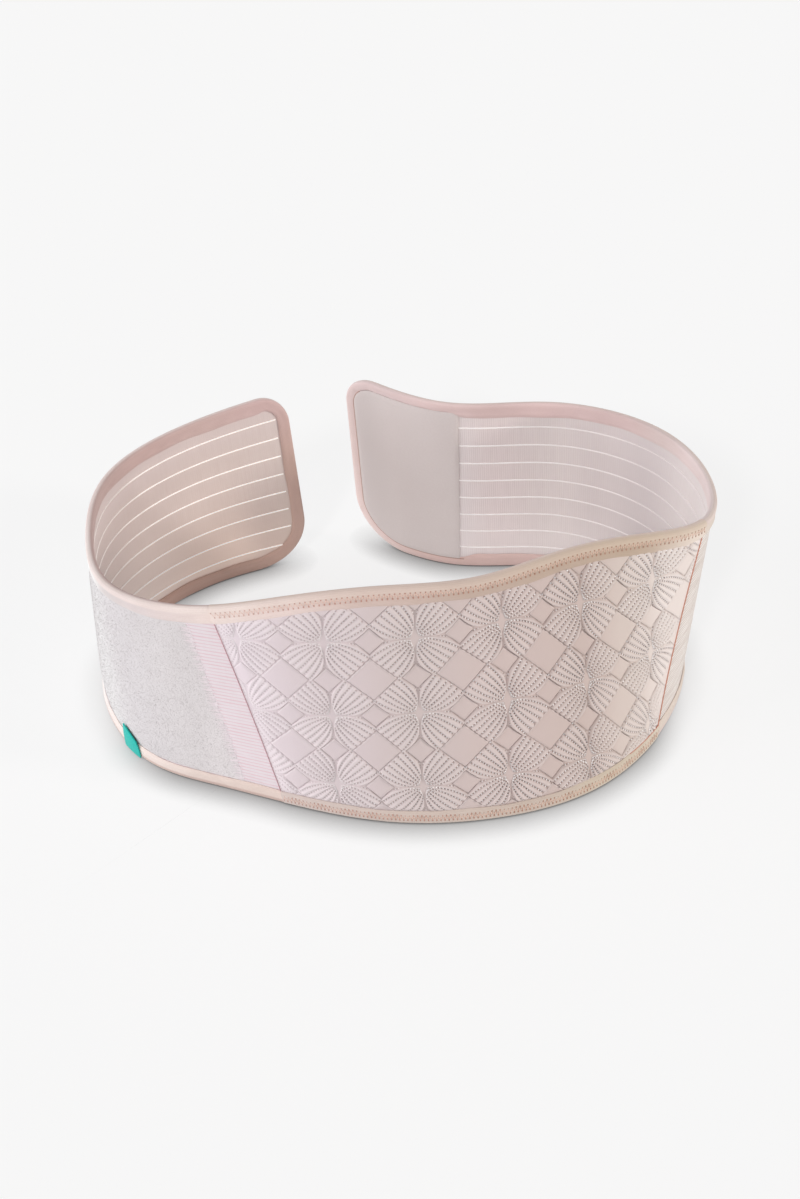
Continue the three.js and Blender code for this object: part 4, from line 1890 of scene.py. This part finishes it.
@dataclass(frozen=True)
class Wings:
    """Both wings with their patches and tapes."""

    hook_from: float = 423.4
    hook_inset: float = 6.4
    hook_gap: float = 0.35
    hook_sewn: float = 0.5
    hook_raised: float = 0.2
    plush_from: float = 20.5
    rib_from: float = 10.0
    rib_ends: Pair = (0.015, 0.985)
    rib_under: float = 0.02
    hook_head: float = -0.8
    rib_grain: Pair = (500.0, 1500.0)

    @property
    def hook_part(self) -> float:
        """Share of the right wing's length where the hook patch starts."""
        return float(RIGHT_WING.part_at(self.hook_from, 0.5))

    @property
    def hook_out(self) -> float:
        """Distance of the hook patch's middle out from the wall."""
        return -(LAYERS.web / 2 + self.hook_gap + LAYERS.hook / 2)

    def left_web(self) -> None:
        """Makes the left side's webbing."""
        outer = ElasticWebbing("left_outer_webbing", tints((0.0, 228, 219, 223)), paint(220, 204, 209),
                               paint(222, 188, 196), weft_share=0.75)
        # Painted light and shade: the inner face's colour darkens towards the panel; low darkens its foot at
        # the free end and lightens it further in, and high lightens it towards the head.
        colour = tints(
            (-0.42, 221, 209, 205), (-0.36, 219, 205, 200), (-0.32, 209, 195, 191), (-0.28, 200, 187, 184))
        low = tints(
            (-0.42, 215, 197, 184), (-0.40, 218, 196, 184), (-0.37, 252, 228, 213), (-0.3, 255, 238, 228))
        inner = ElasticWebbing("left_inner_webbing", colour, paint(190, 166, 158), paint(200, 170, 160),
                               wale_share=0.1, low=low, low_share=0.7, low_top=0.09,
                               high=paint(226, 212, 212), high_share=0.4)
        # Painted light on the ribs: a slight glow, and a colour that darkens towards the panel with painted
        # shade.
        colour = tints((-0.42, 255, 252, 247), (-0.32, 255, 250, 246), (-0.28, 208, 195, 191))
        cover = PlainCloth("left_rib_cover", colour, paint(240, 232, 226), self.rib_grain, painted_glow=0.18)
        rib_run = self.rib_from / LEFT_WING.length, self.rib_ends[1]
        Wing("left", LEFT_WING, outer, inner, cover, rib_run).build()

    def right_web(self) -> None:
        """Makes the right side's webbing."""
        outer = ElasticWebbing("right_outer_webbing", tints((0.0, 208, 197, 191)), paint(200, 186, 178),
                               paint(255, 253, 251), weft_share=0.85, row=2.2)
        # Painted light and shade: the inner face's colour changes along the band with the light, and low and
        # high lighten it towards the foot and the head.
        colour = tints(
            (0.19, 244, 240, 238), (0.26, 216, 209, 207), (0.30, 200, 192, 192), (0.33, 212, 203, 202),
            (0.36, 228, 219, 217), (0.40, 235, 223, 222), (0.43, 236, 229, 229))
        inner = ElasticWebbing("right_inner_webbing", colour, paint(196, 180, 180), paint(220, 200, 198),
                               wale_share=0.5, low=tints((0.0, 250, 243, 242)), low_share=0.25,
                               high=paint(240, 232, 232), high_share=0.1)
        # Painted light on the ribs: a slight glow, and a colour that darkens towards the panel with painted
        # shade.
        colour = tints(
            (0.22, 208, 200, 199), (0.29, 206, 198, 197), (0.33, 232, 226, 225), (0.40, 255, 253, 252))
        cover = PlainCloth("right_rib_cover", colour, paint(232, 224, 222), self.rib_grain, painted_glow=0.08)
        rib_run = self.rib_ends[0], self.hook_part + self.rib_under
        Wing("right", RIGHT_WING, outer, inner, cover, rib_run).build()

    def plush(self) -> None:
        """Makes the plush patch with its pile."""
        patch = Patch("plush_patch", "loop_patch", "plush_pile", LEFT_WING, inset=TAPE_OUTER + LAYERS.gap,
                      side=1 - self.plush_from / LEFT_WING.length,
                      out=LAYERS.web / 2 + LAYERS.gap + LAYERS.plush / 2, thick=LAYERS.plush,
                      flat=(0.1132, 0.2925), web="left_webbing", foot_inset=9.0,
                      sink=1.4, taper=26.0, slant=5.5)
        # The plush's tone with painted light: palest towards the free end, darker further along and paler
        # again near the panel.
        tone_with_painted_light = tints(
            (-0.245, 250, 250, 250), (-0.205, 230, 229, 229), (-0.175, 216, 212, 214), (-0.14, 224, 219, 220),
            (-0.12, 234, 228, 229))
        yarn = PlainCloth("plush_yarn", tone_with_painted_light, paint(184, 177, 177), (1200.0, 900.0), depth=0.5,
                          sheen=0.4, grain_share=1.0)
        fray = PlainCloth("fray_yarn", tints((0.0, 248, 240, 243)), paint(230, 214, 220), self.rib_grain)
        ground = PlainCloth("plush_ground", tone_with_painted_light, paint(190, 184, 184), (900.0, 700.0), depth=0.4)
        patch.build(ground, PlushPile().build(patch, yarn, fray))

    def hook(self) -> None:
        """Makes the hook patch."""
        patch = Patch("smooth_hook_patch", "hook_patch", "hook_tape", RIGHT_WING, inset=self.hook_inset,
                      side=self.hook_part, out=self.hook_out, thick=LAYERS.hook, flat=(0.12, 0.07),
                      web="right_webbing", foot_inset=self.hook_inset, sink=0.75, taper=3.0, slant=-9.7)
        # Painted shade: darker towards the free end.
        colour = tints((0.43, 219, 211, 209), (0.465, 217, 209, 207), (0.49, 203, 195, 193))
        patch.build(PlainCloth("hook_cloth", colour, paint(204, 192, 190), (700.0, 700.0), depth=0.08))

    def left_tape(self) -> None:
        """Makes the left side's tape."""
        # Painted light and shade: the colours change along the run with the light, the inner leg is darker
        # than the outer with painted shade from inside the band, and the crown darkens towards the free end.
        outer = tints(
            (0.0, 238, 221, 215), (0.025, 227, 212, 209), (0.045, 217, 206, 205), (0.065, 208, 201, 200),
            (0.085, 238, 236, 234), (0.105, 255, 254, 252), (0.12, 250, 244, 242), (0.60, 246, 242, 240),
            (0.67, 240, 226, 219), (0.75, 230, 212, 203))
        inner = tints(
            (0.10, 190, 165, 162), (0.17, 192, 167, 163), (0.205, 201, 174, 170), (0.25, 209, 183, 179),
            (0.29, 214, 186, 184), (0.36, 198, 170, 160), (0.46, 196, 166, 154), (0.55, 212, 178, 164))
        crown = tints(
            (0.0, 240, 226, 220), (0.16, 228, 208, 203), (0.30, 216, 192, 187), (0.36, 200, 172, 162))
        finish = FoldedTape("left_tape_cloth", outer, inner, crown, paint(166, 132, 120))
        tape = EdgeTape("left_wing_tape", "left_wing_binding", "wing_tape", LEFT_WING, LAYERS.web, finish,
                        inner_end=8.5)
        tape.build(tape.wing_stops(), True)

    def right_tape(self) -> Stops:
        """Makes the right side's tape.

        Returns:
            The edge of the band beside the hook patch.
        """
        # Painted light and shade: the inner leg's colours change along the run with the light.
        inner = tints(
            (0.07, 221, 206, 204), (0.10, 210, 194, 191), (0.13, 213, 190, 188), (0.18, 229, 203, 201),
            (0.21, 219, 194, 192), (0.25, 232, 209, 207), (0.29, 222, 203, 202), (0.36, 226, 206, 202),
            (0.44, 234, 214, 210), (0.50, 232, 204, 198))
        crown = tints((0.0, 220, 203, 198), (0.30, 222, 201, 198))
        outer = tints((0.0, 220, 207, 196))
        finish = FoldedTape("right_tape_cloth", outer, inner, crown, paint(180, 146, 138))
        tape = EdgeTape("right_wing_tape", "right_wing_binding", "wing_tape", RIGHT_WING, LAYERS.web, finish,
                        inner_end=6.2, end_reach=72.0)
        stops = tape.wing_stops()
        tape.build(stops, False)
        beside = RIGHT_WING.distance(stops.part) < RIGHT_WING.distance(self.hook_part)
        return stops.picked(beside & (stops.in_up > self.hook_head)).picked(BACKWARDS)

    def build(self) -> Stops:
        """Makes the wings.

        Returns:
            The edge of the band beside the hook patch.
        """
        self.left_web()
        self.right_web()
        self.plush()
        self.hook()
        self.left_tape()
        return self.right_tape()


def panel_tapes() -> PanelTapes:
    """Chooses the cloths and threads of the panel's tapes.

    Returns:
        The tapes, ready to be made.
    """
    inner = tints((0.0, 222, 202, 192))
    # Painted light and shade: the head tape's outer leg is paler at both ends and darker in the middle, and
    # its crown darkens along the run.
    outer = tints(
        (0.0, 239, 223, 217), (0.04, 232, 213, 208), (0.09, 207, 186, 178), (0.15, 190, 170, 158),
        (0.20, 186, 166, 151), (0.25, 186, 166, 148), (0.30, 229, 216, 205))
    crown = tints((0.0, 236, 221, 214), (0.09, 218, 200, 190), (0.25, 212, 194, 176))
    head = FoldedTape("panel_head_cloth", outer, inner, crown, paint(176, 140, 124))
    # Painted light and shade: the foot tape's outer leg is darker in the middle and palest at the right.
    outer = tints(
        (0.0, 214, 199, 193), (0.08, 206, 191, 182), (0.15, 202, 187, 176), (0.20, 206, 193, 176),
        (0.25, 213, 203, 188), (0.30, 222, 212, 200))
    crown = tints((0.0, 224, 208, 200), (0.25, 222, 206, 190))
    foot = FoldedTape("panel_foot_cloth", outer, inner, crown, paint(176, 142, 124))
    colour = tints((-0.1, 238, 216, 207), (0.0, 226, 196, 182), (0.15, 218, 188, 170))
    thread = Thread("peach_thread", colour, paint(214, 170, 152))
    # Painted shade of the needle holes: as pale as the tape at the left, darker towards the right.
    colour = tints(
        (-0.1, 228, 200, 192), (-0.03, 196, 154, 142), (0.1, 174, 136, 116), (0.17, 196, 166, 150))
    prick = Thread("needle_hole_shade", colour, paint(160, 118, 100))
    return PanelTapes(Needle(), head, foot, thread, prick)


def main() -> None:
    """Builds the band piece by piece and sets it in the studio."""
    logging.basicConfig(level=logging.INFO, format="%(name)s %(message)s")
    Studio().build()
    QuiltPanel().build()
    wings = Wings()
    hook_edge = wings.build()
    panel_tapes().build()
    coral = tints((0.11, 210, 184, 170), (0.15, 212, 158, 140))
    seams = SeamStitching(
        left=Thread("mauve_thread", tints((0.0, 212, 172, 178)), paint(192, 148, 154)),
        right=Thread("seam_coral_thread", coral, paint(194, 130, 112)),
        hook=Thread("hook_brown_thread", tints((0.0, 190, 160, 150)), paint(170, 138, 128)),
    )
    seams.build(hook_edge, wings.hook_inset - wings.hook_sewn, wings.hook_out + wings.hook_raised)
    teal = tints((0.0, 36, 190, 178))
    SideTag().build(PlainCloth("tag_weave", teal, paint(20, 160, 150), (1500.0, 2500.0)))


if __name__ == "__main__":
    main()
